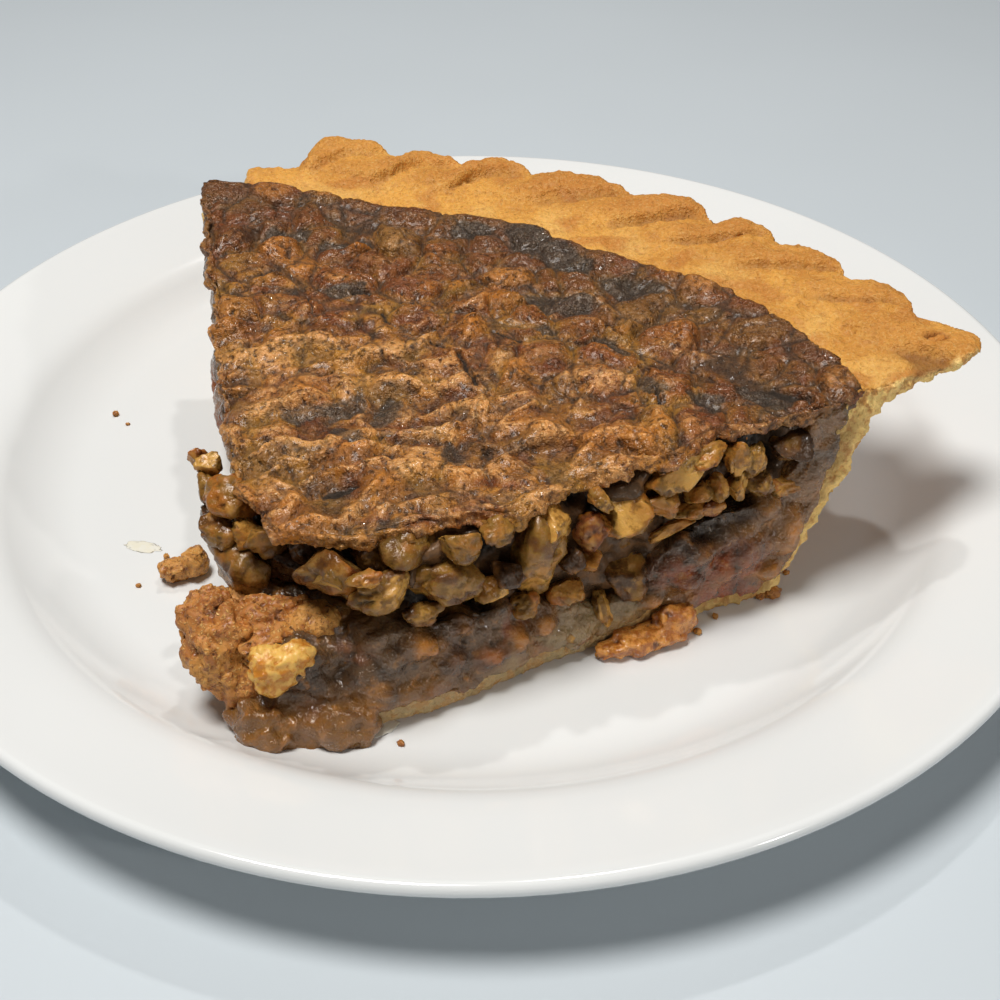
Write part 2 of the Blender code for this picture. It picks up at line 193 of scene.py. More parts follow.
def behind_cut(point):
    """How far a point lies behind the nearer cut, in millimetres."""
    radius, angle = polar(point)
    return min(angle - RIGHT_CUT, LEFT_CUT - angle) * math.radians(radius)


def outward(cut):
    """The direction that a cut face looks in."""
    turn = math.radians(cut)
    side = 1.0 if cut == RIGHT_CUT else -1.0
    return Vector((side * math.sin(turn), -side * math.cos(turn), 0.0))


def corner(angle):
    """How far an angle is into the raised far left corner, from 0 to 1."""
    return smooth(angle, 78.0, 99.0)


def rim_edge_radius(angle):
    wavy = 1.2 * math.sin(math.radians(11.0 * angle)) + 1.5 * noise.noise(Vector((angle / 3.1, 0.0, 4.0)))
    return RIM_EDGE_RADIUS + CORNER_SPREAD * corner(angle) + wavy


def rim_edge_height(angle):
    return RIM_EDGE_HEIGHT + CORNER_LIFT * corner(angle)


def baked_top(radius, angle):
    return ramp(radius, BAKED_TOP) + CORNER_LIFT * corner(angle) * smooth(radius, 60.0, 110.0)


def baked_underside(radius, angle):
    return baked_top(radius, angle) - TOP_THICKNESS


def jelly_top(radius, angle):
    lift = 1.2 * math.sin(math.radians(5.0 * angle)) * smooth(radius, 20.0, 40.0)
    return min(ramp(radius, JELLY_TOP) + lift, baked_underside(radius, angle) - 4.0)


def near_cut(share, reach=0.12):
    """1 on either cut and 0 inside the slice, for a share of the way from cut to cut."""
    return fade(min(share, 1.0 - share), 0.0, reach)


# ---------------------------------------------------------------- mesh helpers

UNSEEN_SAVING = 0.9          # share of the faces that are saved where a net is hidden


def block(cuts, shape):
    """A cube cut into a grid of cells, whose points shape(u, v, w) then places in millimetres."""
    bm = bmesh.new()
    bmesh.ops.create_cube(bm, size=1.0, matrix=Matrix.Translation((0.5, 0.5, 0.5)))
    for axis, count in enumerate(cuts):
        along = [edge for edge in bm.edges
                 if abs(edge.verts[0].co[axis] - edge.verts[1].co[axis]) > 0.5]
        bmesh.ops.subdivide_edges(bm, edges=along, cuts=count - 1, use_grid_fill=True)
    for vert in bm.verts:
        vert.co = shape(*vert.co) * MM
    bmesh.ops.recalc_face_normals(bm, faces=bm.faces)
    if bm.calc_volume(signed=True) < 0.0:
        bmesh.ops.reverse_faces(bm, faces=bm.faces)
    return bm


def evaluated(rough):
    """The mesh that an object's modifiers make; the object itself is removed."""
    bpy.context.scene.collection.objects.link(rough)
    depsgraph = bpy.context.evaluated_depsgraph_get()
    made = bpy.data.meshes.new_from_object(rough.evaluated_get(depsgraph))
    bpy.data.meshes.remove(rough.data)
    return made


def netted(bm, size, unseen=None):
    """The outside of everything in bm, on an even net of faces size millimetres wide.

    Where unseen(point) is true another piece hides the net, and most of its faces are joined up.
    """
    rough = bpy.data.objects.new("rough", bpy.data.meshes.new("rough"))
    bm.to_mesh(rough.data)
    bm.free()
    net = rough.modifiers.new("net", "REMESH")
    net.mode = "VOXEL"
    net.voxel_size = size * MM
    fine = evaluated(rough)
    if unseen:
        rough = bpy.data.objects.new("rough", fine)
        hidden = [vert.index for vert in fine.vertices if unseen(vert.co / MM)]
        rough.vertex_groups.new(name="unseen").add(hidden, 1.0, "REPLACE")
        thin = rough.modifiers.new("thin", "DECIMATE")
        thin.vertex_group = "unseen"
        thin.ratio = 1.0 - UNSEEN_SAVING * len(hidden) / len(fine.vertices)
        fine = evaluated(rough)
    made = bmesh.new()
    made.from_mesh(fine)
    bpy.data.meshes.remove(fine)
    soften(made, 1)
    return made


def soften(bm, passes):
    for _ in range(passes):
        bmesh.ops.smooth_vert(bm, verts=bm.verts, factor=0.5,
                              use_axis_x=True, use_axis_y=True, use_axis_z=True)


def mask_layer(bm, name):
    """The layer of bm that holds one of its masks."""
    return bm.verts.layers.float.get(name) or bm.verts.layers.float.new(name)


def emboss(bm, depth, masks=()):
    """Moves each vertex along its normal by depth(point, normal) millimetres.

    depth gives the distance, or the distance followed by a value for each of the masks.
    """
    bm.normal_update()
    layers = [mask_layer(bm, name) for name in masks]
    moved = []
    for vert in bm.verts:
        result = depth(vert.co / MM, vert.normal)
        if layers:
            for layer, value in zip(layers, result[1:]):
                vert[layer] = value
            result = result[0]
        moved.append(vert.co + vert.normal * result * MM)
    for vert, co in zip(bm.verts, moved):
        vert.co = co


def finish(name, bm, made_of, slot, *replaced, sharp=None):
    """Turns a bmesh into a named piece that rides with the plate."""
    bm.normal_update()
    mesh = bpy.data.meshes.new(name)
    bm.to_mesh(mesh)
    bm.free()
    mesh.shade_smooth()
    if sharp:
        mesh.set_sharp_from_angle(angle=math.radians(sharp))
    mesh.materials.append(made_of)
    piece = bpy.data.objects.new(name, mesh)
    bpy.context.scene.collection.objects.link(piece)
    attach(piece, BODY)
    if replaced:
        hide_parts(*replaced)


# ---------------------------------------------------------------- shader helpers

WARM_SHEEN = (1.0, 0.86, 0.75)
CRACKLE_BEND = 0.0012        # how far the crackle is bent out of line, in metres


def feed(tree, socket, value):
    """Gives an input a link, a colour or a plain value."""
    if isinstance(value, bpy.types.NodeSocket):
        tree.links.new(value, socket)
    else:
        socket.default_value = (*value, 1.0) if socket.type == "RGBA" else value


def add(tree, kind, inputs=None, **settings):
    """Adds a node, sets its options, and gives its inputs values or links."""
    made = tree.nodes.new("ShaderNode" + kind)
    for name, value in settings.items():
        setattr(made, name, value)
    for name, value in (inputs or {}).items():
        feed(tree, made.inputs[name], value)
    return made


def blend(tree, factor, low, high):
    """A colour between low and high; each may be a colour or a socket."""
    return add(tree, "Mix", {0: factor, 6: low, 7: high}, data_type="RGBA").outputs[2]


def layered(tree, colour, *layers):
    """A colour under further ones, each given with how much of it there is."""
    for factor, over in layers:
        colour = blend(tree, factor, colour, over)
    return colour


def span(tree, value, low, high, to_low=0.0, to_high=1.0):
    """value stretched from low..high to to_low..to_high, with soft ends."""
    return add(tree, "MapRange", {"Value": value, "From Min": low, "From Max": high,
                                  "To Min": to_low, "To Max": to_high},
               interpolation_type="SMOOTHSTEP").outputs["Result"]


def palette(tree, value, *colours):
    """Colours spread evenly over value, from 0 to 1."""
    made = add(tree, "ValToRGB", {"Fac": value})
    stops = made.color_ramp.elements
    for index, colour in enumerate(colours):
        share = index / (len(colours) - 1)
        stop = stops[index] if index < 2 else stops.new(share)
        stop.position = share
        stop.color = (*colour, 1.0)
    return made.outputs["Color"]


def times(tree, first, *others):
    """The product of sockets and numbers."""
    for other in others:
        first = add(tree, "Math", {0: first, 1: other}, operation="MULTIPLY").outputs[0]
    return first


def summed(tree, *terms):
    """The sum of sockets, each given with its weight."""
    total = 0.0
    for socket, weight in terms:
        total = add(tree, "Math", {0: socket, 1: weight, 2: total}, operation="MULTIPLY_ADD").outputs[0]
    return total


def mask(tree, name):
    return add(tree, "Attribute", attribute_name=name).outputs["Fac"]


def masked(tree, name, share):
    """A share, as a number or a socket, of one of the masks."""
    return times(tree, mask(tree, name), share)


def cloudy(tree, where, scale, detail, roughness=0.5, distortion=0.0):
    """The outputs of a noise with scale clouds to a metre."""
    return add(tree, "TexNoise", {"Vector": where, "Scale": scale, "Detail": detail, "Roughness": roughness,
                                  "Distortion": distortion}).outputs


def shared_group(name, outputs, build):
    """A pattern that the finishes share: a node group, made once, for a size in millimetres.

    build(group, where, scale) gives a socket for each of the outputs.
    """
    group = bpy.data.node_groups.get(name)
    if group:
        return group
    group = bpy.data.node_groups.new(name, "ShaderNodeTree")
    for label in ("Vector", "Size"):
        kind = "NodeSocketVector" if label == "Vector" else "NodeSocketFloat"
        group.interface.new_socket(label, in_out="INPUT", socket_type=kind)
    for label in outputs:
        group.interface.new_socket(label, in_out="OUTPUT", socket_type="NodeSocketFloat")
    given, result = group.nodes.new("NodeGroupInput").outputs, group.nodes.new("NodeGroupOutput").inputs
    scale = add(group, "Math", {0: 1.0 / MM, 1: given["Size"]}, operation="DIVIDE").outputs[0]
    for label, socket in zip(outputs, build(group, given["Vector"], scale)):
        group.links.new(socket, result[label])
    return group


def grain_group():
    """Noise at three sizes: broad clouds, crumbs and fine grains."""
    def build(group, where, scale):
        return [cloudy(group, where, times(group, scale, share), detail, 0.6)["Fac"]
                for share, detail in ((0.16, 3.0), (1.0, 3.0), (3.5, 2.0))]
    return shared_group("food_grain", ("Cloud", "Crumb", "Fine"), build)


def pores_group():
    """Small round pits."""
    def build(group, where, scale):
        cells = add(group, "TexVoronoi", {"Vector": where, "Scale": scale, "Randomness": 1.0})
        return [span(group, cells.outputs["Distance"], 0.32, 0.12)]
    return shared_group("food_pores", ("Pits",), build)


def crackle_group():
    """Crisp crumbs with dark gaps between them."""
    def build(group, where, scale):
        wobble = cloudy(group, where, times(group, scale, 0.7), 2.0)["Color"]
        bent = add(group, "VectorMath", {0: wobble, 1: (CRACKLE_BEND,) * 3, 2: where},
                   operation="MULTIPLY_ADD").outputs[0]
        cells = add(group, "TexVoronoi", {"Vector": bent, "Scale": scale, "Smoothness": 0.35},
                    feature="SMOOTH_F1").outputs["Distance"]
        ridges = cloudy(group, bent, times(group, scale, 0.8), 3.0, 0.55)["Fac"]
        crests = times(group, span(group, cells, 0.50, 0.12), span(group, ridges, 0.36, 0.62))
        return crests, span(group, ridges, 0.46, 0.32)
    return shared_group("food_crackle", ("Crests", "Gaps"), build)


def pattern(tree, group, where, size):
    """The outputs of one of the shared patterns, for a size in millimetres."""
    return add(tree, "Group", {"Vector": where, "Size": size}, node_tree=group()).outputs


def object_space(tree):
    return add(tree, "TexCoord").outputs["Object"]


def new_material(name, crumb):
    """A material with its node tree and its grain, for crumbs of a size in millimetres."""
    made = bpy.data.materials.new(name)
    made.use_nodes = True
    tree = made.node_tree
    return made, tree, pattern(tree, grain_group, object_space(tree), crumb)


def set_surface(tree, colour, roughness, specular=None, tint=None, coat=None, under=None):
    """Gives the shader its colour and roughness, and the constants that differ from the usual ones.

    coat is the coat's weight and roughness.  under is the weight of the light below the surface, and
    the distances that its red, green and blue spread, in metres.
    """
    values = {"Base Color": colour, "Roughness": roughness, "Specular IOR Level": specular,
              "Specular Tint": tint}
    if coat:
        values["Coat Weight"], values["Coat Roughness"] = coat
    if under:
        values["Subsurface Weight"], values["Subsurface Radius"] = under
        values["Subsurface Scale"] = 1.0
    for name, value in values.items():
        if value is not None:
            feed(tree, tree.nodes["Principled BSDF"].inputs[name], value)


def set_bump(tree, height, depth, strength):
    """Relief depth millimetres deep from a height between 0 and 1."""
    bump = add(tree, "Bump", {"Height": height, "Distance": depth * MM, "Strength": strength})
    tree.links.new(bump.outputs["Normal"], tree.nodes["Principled BSDF"].inputs["Normal"])


# ---------------------------------------------------------------- settings

def length(name, default, description):
    return bpy.props.FloatProperty(name=name, description=description, default=default, unit="LENGTH")


def power(name, default, description):
    return bpy.props.FloatProperty(name=name, description=description, default=default, unit="POWER")


def paint(name, default, description):
    return bpy.props.FloatVectorProperty(name=name, description=description, subtype="COLOR",
                                         default=srgb(*default))


class PlateSettings(bpy.types.PropertyGroup):
    radius: length("Radius", 0.115, "Radius of the plate")
    height: length("Height", 0.017, "Height of the plate's lip")
    glaze: paint("Glaze", (0.93, 0.935, 0.93), "Colour of the glaze")


class PastrySettings(bpy.types.PropertyGroup):
    crimp: length("Crimp", 0.0018, "Height of a crimp above its crease")
    golden: paint("Golden", (0.90, 0.65, 0.275), "Colour of the baked pastry")
    browned: paint("Browned", (0.76, 0.48, 0.18), "Colour where it browned most")
    crumb: paint("Crumb", (1.0, 0.84, 0.52), "Colour of its cut face")


class FillingSettings(bpy.types.PropertyGroup):
    dark: paint("Dark jelly", (0.26, 0.19, 0.135), "Colour where the jelly is deep")
    amber: paint("Amber jelly", (0.52, 0.35, 0.16), "Colour where the jelly is thin")


class WalnutSettings(bpy.types.PropertyGroup):
    largest: length("Largest", 0.0042, "Half width of the largest loose chunk")
    flesh: paint("Flesh", (0.98, 0.75, 0.38), "Colour of a broken walnut")
    skin: paint("Skin", (0.66, 0.46, 0.20), "Colour of the walnut's skin")


class TopSettings(bpy.types.PropertyGroup):
    lump: length("Lump", 0.0017, "Height of a walnut's bump under the skin")
    dark: paint("Dark", (0.37, 0.24, 0.15), "Colour beside the rim")
    brown: paint("Brown", (0.54, 0.34, 0.135), "Colour of the middle")
    amber: paint("Amber", (0.80, 0.50, 0.19), "Colour of the raised bumps")
    slate: paint("Slate", (0.21, 0.20, 0.18), "Colour of the charred patches")


class StageSettings(bpy.types.PropertyGroup):
    floor: paint("Floor", (0.80, 0.83, 0.85), "Colour of the floor")
    key: power("Key light", 6.25, "Power of the large soft light")
    glint: power("Glint light", 1.2, "Power of the small lamp behind the slice")
    fill: power("Fill light", 0.20, "Power of the light on the cut face")
    sparkle: power("Sparkle light", 0.55, "Power of the small lamp on the cut face")


# ---------------------------------------------------------------- plate

PLATE_STEPS = 160
WELD_DISTANCE = 0.00001      # in metres
WELL_STEPS = 14
LIP_RADIUS = 1.3
RIM_THICKNESS = 4.2
WELL_FLAT_RADIUS = 78.0
WELL_EDGE_RADIUS = 94.3
WELL_EDGE_HEIGHT = 11.5
FOOT_OUTER_RADIUS = 66.0
FOOT_INNER_RADIUS = 59.0
FOOT_RECESS = 0.8
PLATE_GAP = 0.05             # how far everything stays above the glaze
TOP_MARGIN = 0.0001          # how far it stays below the top of the frame, in metres


def plate_surface(point):
    """Height of the plate's top at a point of the plan, out to the edge of the well."""
    share = max(0.0, math.hypot(point.x, point.y) - WELL_FLAT_RADIUS) / (WELL_EDGE_RADIUS - WELL_FLAT_RADIUS)
    return PLATE_TOP + (WELL_EDGE_HEIGHT - PLATE_TOP) * min(share, 1.0) ** 2


def keep_inside(bm):
    """Holds a piece off the plate and under the highest point of the frame."""
    top = CAD_BOX[1][2] - TOP_MARGIN
    for vert in bm.verts:
        floor = (plate_surface(vert.co / MM) + PLATE_GAP) * MM
        vert.co.z = min(max(vert.co.z, floor), top)


def plate_profile(radius, height):
    """The plate's half section, from the centre of its top out and back underneath."""
    points = [(0.0, PLATE_TOP), (20.0, PLATE_TOP), (45.0, PLATE_TOP), (66.0, PLATE_TOP)]
    for step in range(WELL_STEPS):                    # hollow wall of the well
        share = step / WELL_STEPS
        points.append((mix(WELL_FLAT_RADIUS, WELL_EDGE_RADIUS - 1.0, share),
                       PLATE_TOP + (WELL_EDGE_HEIGHT - PLATE_TOP) * share ** 2 * 0.97))
    lip_x, lip_z = radius - LIP_RADIUS, height - LIP_RADIUS
    points += [(WELL_EDGE_RADIUS, WELL_EDGE_HEIGHT - 0.05), (WELL_EDGE_RADIUS + 2.2, WELL_EDGE_HEIGHT + 0.75)]
    for share in (0.3, 0.6, 0.85):
        points.append((mix(WELL_EDGE_RADIUS, lip_x, share), mix(WELL_EDGE_HEIGHT, height - 0.08, share)))
    for turn in range(110, -91, -20):                 # rolled lip
        points.append((lip_x + LIP_RADIUS * math.cos(math.radians(turn)),
                       lip_z + LIP_RADIUS * math.sin(math.radians(turn))))
    under_x, under_z = WELL_EDGE_RADIUS + 3.0, WELL_EDGE_HEIGHT - RIM_THICKNESS + 0.8
    for share in (0.3, 0.65):
        points.append((mix(lip_x, under_x, share), mix(lip_z - LIP_RADIUS, under_z, share)))
    points += [(under_x, under_z), (WELL_FLAT_RADIUS + 10.0, 4.4), (WELL_FLAT_RADIUS + 4.0, 2.5),
               (FOOT_OUTER_RADIUS + 6.0, 1.6), (FOOT_OUTER_RADIUS + 1.2, 1.1),
               (FOOT_OUTER_RADIUS + 0.5, 0.5), (FOOT_OUTER_RADIUS, 0.12), (FOOT_OUTER_RADIUS - 0.6, 0.0),
               (FOOT_INNER_RADIUS + 0.6, 0.0), (FOOT_INNER_RADIUS, 0.12), (FOOT_INNER_RADIUS - 0.5, 0.5),
               (FOOT_INNER_RADIUS - 1.2, FOOT_RECESS), (30.0, FOOT_RECESS), (0.0, FOOT_RECESS)]
    return points


def glaze_material(settings):
    made, tree, grain = new_material("white_glaze", 18.0)
    where = object_space(tree)
    dull = tuple(channel * 0.97 for channel in settings.glaze)
    height = add(tree, "SeparateXYZ", {"Vector": where}).outputs["Z"]
    foot = span(tree, height, 0.0005, 0.0001)         # the foot's ring stands unglazed
    colour = blend(tree, span(tree, grain["Cloud"], 0.35, 0.65), dull, settings.glaze)
    colour = blend(tree, foot, colour, srgb(0.80, 0.77, 0.71))
    set_surface(tree, colour, span(tree, foot, 0.0, 1.0, 0.14, 0.7), coat=(0.3, 0.06))
    set_bump(tree, grain["Crumb"], 0.05, 0.25)
    return made


class PIE_OT_plate(bpy.types.Operator):
    """Turns the glazed plate"""
    bl_idname = "pie.plate"
    bl_label = "Plate"

    def execute(self, context):
        settings = context.scene.pie_plate
        bm = bmesh.new()
        profile = plate_profile(settings.radius / MM, settings.height / MM)
        verts = [bm.verts.new(Vector((radius, 0.0, height)) * MM) for radius, height in profile]
        edges = [bm.edges.new(pair) for pair in zip(verts, verts[1:])]
        bmesh.ops.spin(bm, geom=verts + edges, cent=(0.0, 0.0, 0.0), axis=(0.0, 0.0, 1.0),
                       angle=math.tau, steps=PLATE_STEPS, use_merge=True)
        bmesh.ops.remove_doubles(bm, verts=bm.verts, dist=WELD_DISTANCE)
        bmesh.ops.recalc_face_normals(bm, faces=bm.faces)
        finish("plate_fine", bm, glaze_material(settings), "white_glaze", "plate", sharp=60.0)
        return {"FINISHED"}


# ---------------------------------------------------------------- pastry

PASTRY_NET = 0.5
PASTRY_CUTS = (130, 90, 3)
# Outer and inner side of the pastry at matching places, as (height, radius)
WALL_OUTSIDE = ((4.3, 93.0), (6.4, 97.4), (12.0, 101.6), (18.0, 104.2), (26.0, 108.2), (34.0, 110.8),
                (37.5, 111.8), (40.0, 115.0), (42.0, 120.5))
WALL_INSIDE = ((8.9, 90.5), (10.2, 96.4), (13.4, 99.4), (18.0, 100.6), (26.0, 102.8), (33.0, 104.6),
               (37.5, 104.8), (41.6, 106.0), (44.0, 109.0))
BASE_UNDERSIDE = 4.3
CRIMP_SLANT = 13.0           # degrees that a crease runs along the rim on its way across it
CREASE_DEPTH = 1.1
BASE_STATIONS = (12.0, 24.0, 36.0, 48.0, 58.0, 68.0, 80.0)
# How far the base and the jelly bulge out of the open cut, as (radius, millimetres)
BASE_SPREAD = ((12.0, 0.5), (18.0, 1.8), (24.0, 2.6), (32.0, 2.6), (38.0, 2.2), (46.0, 0.8), (60.0, 0.4),
               (78.0, 0.9), (96.0, 0.9), (104.0, 0.0))


def crimp_share(angle):
    """How far an angle is through its crimp, from 0 at its crease to 1 at the next."""
    for low, high in zip(CRIMP_NOTCHES, CRIMP_NOTCHES[1:]):
        if low <= angle < high:
            return (angle - low) / (high - low)
    return 1.0


def crimp_outline(angle):
    """0 in a notch and 1 on the crown of a crimp, which falls steeply on its far side."""
    share = crimp_share(angle)
    return max(0.15, math.sin(math.pi * min(share, 0.999) ** 1.5) ** 0.7)


def curve(points, share):
    """A point on the smooth curve through points, for a share of the way along it."""
    spot = share * (len(points) - 1)
    index = min(int(spot), len(points) - 2)
    t = spot - index
    before, start = points[max(index - 1, 0)], points[index]
    end, after = points[index + 1], points[min(index + 2, len(points) - 1)]
    return tuple(0.5 * (2.0 * b + (c - a) * t + (2.0 * a - 5.0 * b + 4.0 * c - d) * t * t
                        + (3.0 * b - a - 3.0 * c + d) * t ** 3)
                 for a, b, c, d in zip(before, start, end, after))


def rim_missing(angle):
    return smooth(angle, MISSING_RIM - 0.5, MISSING_RIM + 1.0)


def nose_radius(angle):
    """How far the rim reaches outwards at an angle."""
    broken = smooth(angle, BROKEN_RIM - 1.0, BROKEN_RIM + 1.5)
    reach = NOSE_RADIUS + CRIMP_REACH * crimp_outline(angle) - 7.0 * broken
    reach -= 3.4 * fade(angle, RIGHT_CUT - 0.5, RIGHT_CUT + 2.2) ** 2
    return mix(reach, rim_edge_radius(angle) + 4.0, rim_missing(angle))


def pastry_sides(angle):
    """Matching points on the outer and the inner side of the pastry, as (radius, height)."""
    missing = rim_missing(angle)
    edge_radius, edge_height = rim_edge_radius(angle), rim_edge_height(angle) - 1.5 * missing
    nose = nose_radius(angle)
    peak = 1.9 * smooth(angle, 81.0, 86.0) * fade(angle, 90.5, 93.0) + 0.8 * fade(abs(angle - 77.0), 0.0, 1.6)
    crown = mix(CROWN_HEIGHT + CORNER_LIFT * 0.4 * corner(angle) + peak, edge_height - 0.2, missing)
    lip = max(nose - 9.0, edge_radius + 2.0)
    outer = [(radius, BASE_UNDERSIDE) for radius in BASE_STATIONS]
    inner = [(radius, ramp(radius, BASE_TOP)) for radius in BASE_STATIONS]
    outer += [(min(radius, nose - 1.2), height) for height, radius in WALL_OUTSIDE]
    for height, radius in WALL_INSIDE[:-1]:
        lift = CORNER_LIFT * corner(angle) * smooth(height, 30.0, 42.0)
        spread = (edge_radius - RIM_EDGE_RADIUS) * smooth(height, 20.0, 40.0)
        inner.append((radius + spread, height + lift))
    inner.append((edge_radius, edge_height))
    outer += [(mix(120.0, nose, 0.6), NOSE_HEIGHT - 0.3), (nose - 1.0, NOSE_HEIGHT + 0.2),
              (nose, 0.5 * (NOSE_HEIGHT + crown))]
    inner += [(mix(edge_radius, lip, 0.45), mix(edge_height, crown, 0.25)), (lip, crown - 0.3),
              (nose - 1.2, crown)]
    return outer, inner


def bulge(share, radius, height):
    """How far the foot of the open cut has spread outwards."""
    if share > 0.5:
        return 0.0
    return ramp(radius, BASE_SPREAD) * near_cut(share) * fade(height, 8.0, 15.0)


def pastry_shape(share, along, through):
    """The dough from cut to cut, from the point along the base and up the wall, and through its thickness."""
    angle = mix(RIGHT_CUT, LEFT_CUT, share)
    outer, inner = pastry_sides(angle)
    outer_radius, outer_height = curve(outer, along)
    inner_radius, inner_height = curve(inner, along)
    radius, height = mix(outer_radius, inner_radius, through), mix(outer_height, inner_height, through)
    return place(radius, angle, height, bulge(share, radius, height))


def crimp_relief(radius, angle):
    """Height of the crimps at a place on the rim, and how deep in a crease it is, from 0 to 1."""
    edge, nose = rim_edge_radius(angle), nose_radius(angle)
    across = (radius - edge) / max(nose - edge, 1.0)
    slanted = angle - CRIMP_SLANT * (1.0 - across) + 0.5 * math.sin(0.9 * angle)
    share = crimp_share(slanted)
    unlike = 0.75 + 0.35 * math.sin(37.0 * sum(slanted > notch for notch in CRIMP_NOTCHES))
    rise = smooth(share, 0.0, 0.18) * fade(share, 0.38, 1.0) * unlike * 1.2
    reach = smooth(across, 0.34, 0.60) * (1.0 - 0.35 * smooth(across, 0.80, 1.0))
    pinched = smooth(across, 0.38, 0.50) * fade(across, 0.84, 0.98)
    crease = min(1.0, (max(0.0, 1.0 - share / 0.12) + max(0.0, (share - 0.95) / 0.05)) * pinched)
    keep = fade(angle, BROKEN_RIM - 1.5, BROKEN_RIM + 1.0)
    faint = smooth(angle, 50.0, 70.0)
    return rise * reach * keep * mix(1.0, 0.7, faint), crease * keep * unlike * mix(1.0, 0.35, faint)


def pastry_material(settings):
    made, tree, grain = new_material("baked_pastry", 2.2)
    where = object_space(tree)
    crumb, fine = grain["Crumb"], grain["Fine"]
    pits = pattern(tree, pores_group, where, 1.3)["Pits"]
    gaps = pattern(tree, crackle_group, where, 0.8)["Gaps"]
    dull = tuple(a * b for a, b in zip(settings.golden, (0.80, 0.72, 0.60)))
    colour = layered(
        tree, settings.golden, (span(tree, grain["Cloud"], 0.38, 0.62), dull),
        (masked(tree, "pale", 0.9), srgb(0.94, 0.74, 0.40)),
        (masked(tree, "browned", span(tree, crumb, 0.25, 0.60, 0.45, 1.0)), settings.browned),
        (mask(tree, "crumb"), settings.crumb),
        (masked(tree, "crumb", span(tree, crumb, 0.50, 0.36, 0.0, 0.7)), srgb(0.80, 0.54, 0.24)),
        (masked(tree, "soggy", span(tree, crumb, 0.3, 0.7, 0.75, 1.0)), srgb(0.68, 0.59, 0.42)),
        (masked(tree, "syrupy", 0.85), srgb(0.68, 0.54, 0.31)),
        (span(tree, fine, 0.50, 0.72, 0.0, 0.30), srgb(0.95, 0.80, 0.52)),
        (span(tree, crumb, 0.52, 0.34, 0.0, 0.35), srgb(0.72, 0.46, 0.18)),
        (span(tree, fine, 0.46, 0.30, 0.0, 0.35), srgb(0.66, 0.42, 0.17)),
        # painted shade: a little darker in the pits
        (times(tree, pits, 0.08), srgb(0.50, 0.28, 0.10)),
        # painted shade: darker in the creases and in the hole under the rim's nose
        (masked(tree, "crease", 0.9), srgb(0.42, 0.24, 0.09)))
    wet = span(tree, mask(tree, "soggy"), 0.0, 1.0, 1.0, 0.45)
    set_surface(tree, colour, times(tree, span(tree, crumb, 0.3, 0.7, 0.55, 0.78), wet),
                under=(0.12, (0.0016, 0.0009, 0.0004)))
    set_bump(tree, summed(tree, (fine, 0.8), (crumb, 1.0), (gaps, -0.2), (pits, -0.2)), 0.55, 1.0)
    return made


def wall_depth(radius, height):
    """How far inside the wall's outer side a place on the cut face lies."""
    return ramp(height, WALL_OUTSIDE) - radius


def pastry_unseen(point):
    """True where the filling, the baked top or the plate hides the pastry."""
    inner = polar(point)[0] < ramp(point.z, WALL_OUTSIDE) - 1.8 and point.z < 40.0
    return behind_cut(point) > 4.0 and (inner or point.z < 5.5)


class PIE_OT_pastry(bpy.types.Operator):
    """Shapes the base, the wall and the crimped rim"""
    bl_idname = "pie.pastry"
    bl_label = "Pastry"

    def execute(self, context):
        settings = context.scene.pie_pastry
        crimp = settings.crimp / MM
        bm = netted(block(PASTRY_CUTS, pastry_shape), PASTRY_NET, pastry_unseen)
        soften(bm, 2)

        def crimps(point, normal):
            radius, angle = polar(point)
            if radius < rim_edge_radius(angle):
                return 0.0
            rise, crease = crimp_relief(radius, angle)
            return (crimp * rise - CREASE_DEPTH * crease) * smooth(normal.z, 0.1, 0.6)

        def surface(point, normal):
            radius, angle = polar(point)
            edge = rim_edge_radius(angle)
            on_top = smooth(normal.z, 0.0, 0.5) * smooth(radius, edge - 1.0, edge + 1.0)
            rise, crease = crimp_relief(radius, angle)
            across = smooth(radius, edge, nose_radius(angle))
            crumb = fade(behind_cut(point), 0.4, 1.6) * fade(abs(normal.z), 0.75, 0.95)
            crumb = max(crumb, rim_missing(angle) * smooth(radius, 104.0, 108.0))
            soggy = crumb * fade(point.z, 9.0, 14.0) * fade(radius, 62.0, 80.0)
            void = streak(point, 81.6, -19.6, 2.0, 2.6, 25.0) * smooth(point.z, 40.5, 42.0)
            depth = 0.30 * lumps(point, 4.5, 1.0) + 0.38 * grit(point, 1.7, 2.0)
            flaky = 0.75 * grit(point, 2.1, 3.0) - 0.2 + 0.5 * lumps(point, 3.5, 5.0)
            depth += (crumb - 0.8 * soggy) * flaky
            depth += (0.8 * lumps(point, 8.0, 4.0) + 0.4 * lumps(point, 3.6, 9.0) - 0.1) * on_top
            depth -= 2.2 * smooth(void, 0.2, 0.8)
            # the hole joins the creases, which the finish darkens as painted shade
            crease = max(crease, smooth(void, 0.1, 0.6))
            browned = max(on_top * min(0.8, 0.08 + 0.85 * rise * smooth(across, 0.25, 0.8)),
                          on_top * 0.8 * smooth(lumps(point, 6.0, 6.0), 0.05, 0.45),
                          (1.0 - on_top) * (1.0 - crumb) * smooth(point.z, 26.0, 43.0) * 0.8)
            pale = 0.6 * on_top * fade(across, 0.10, 0.60) * smooth(lumps(point, 7.0, 7.0), -0.3, 0.4)
            dry = crumb * (1.0 - soggy)
            syrupy = dry * smooth(wall_depth(radius, point.z) + lumps(point, 2.5, 8.0), 1.6, 3.4)
            syrupy *= 0.8 * smooth(radius, 66.0, 76.0) * fade(point.z, 36.0, 41.0)
            return depth, browned, pale, dry, crease * on_top, soggy, syrupy

        emboss(bm, crimps)
        soften(bm, 1)
        emboss(bm, surface, ("browned", "pale", "crumb", "crease", "soggy", "syrupy"))
        keep_inside(bm)
        finish("pastry_fine", bm, pastry_material(settings), "baked_pastry", "pastry")
        return {"FINISHED"}


# ---------------------------------------------------------------- filling

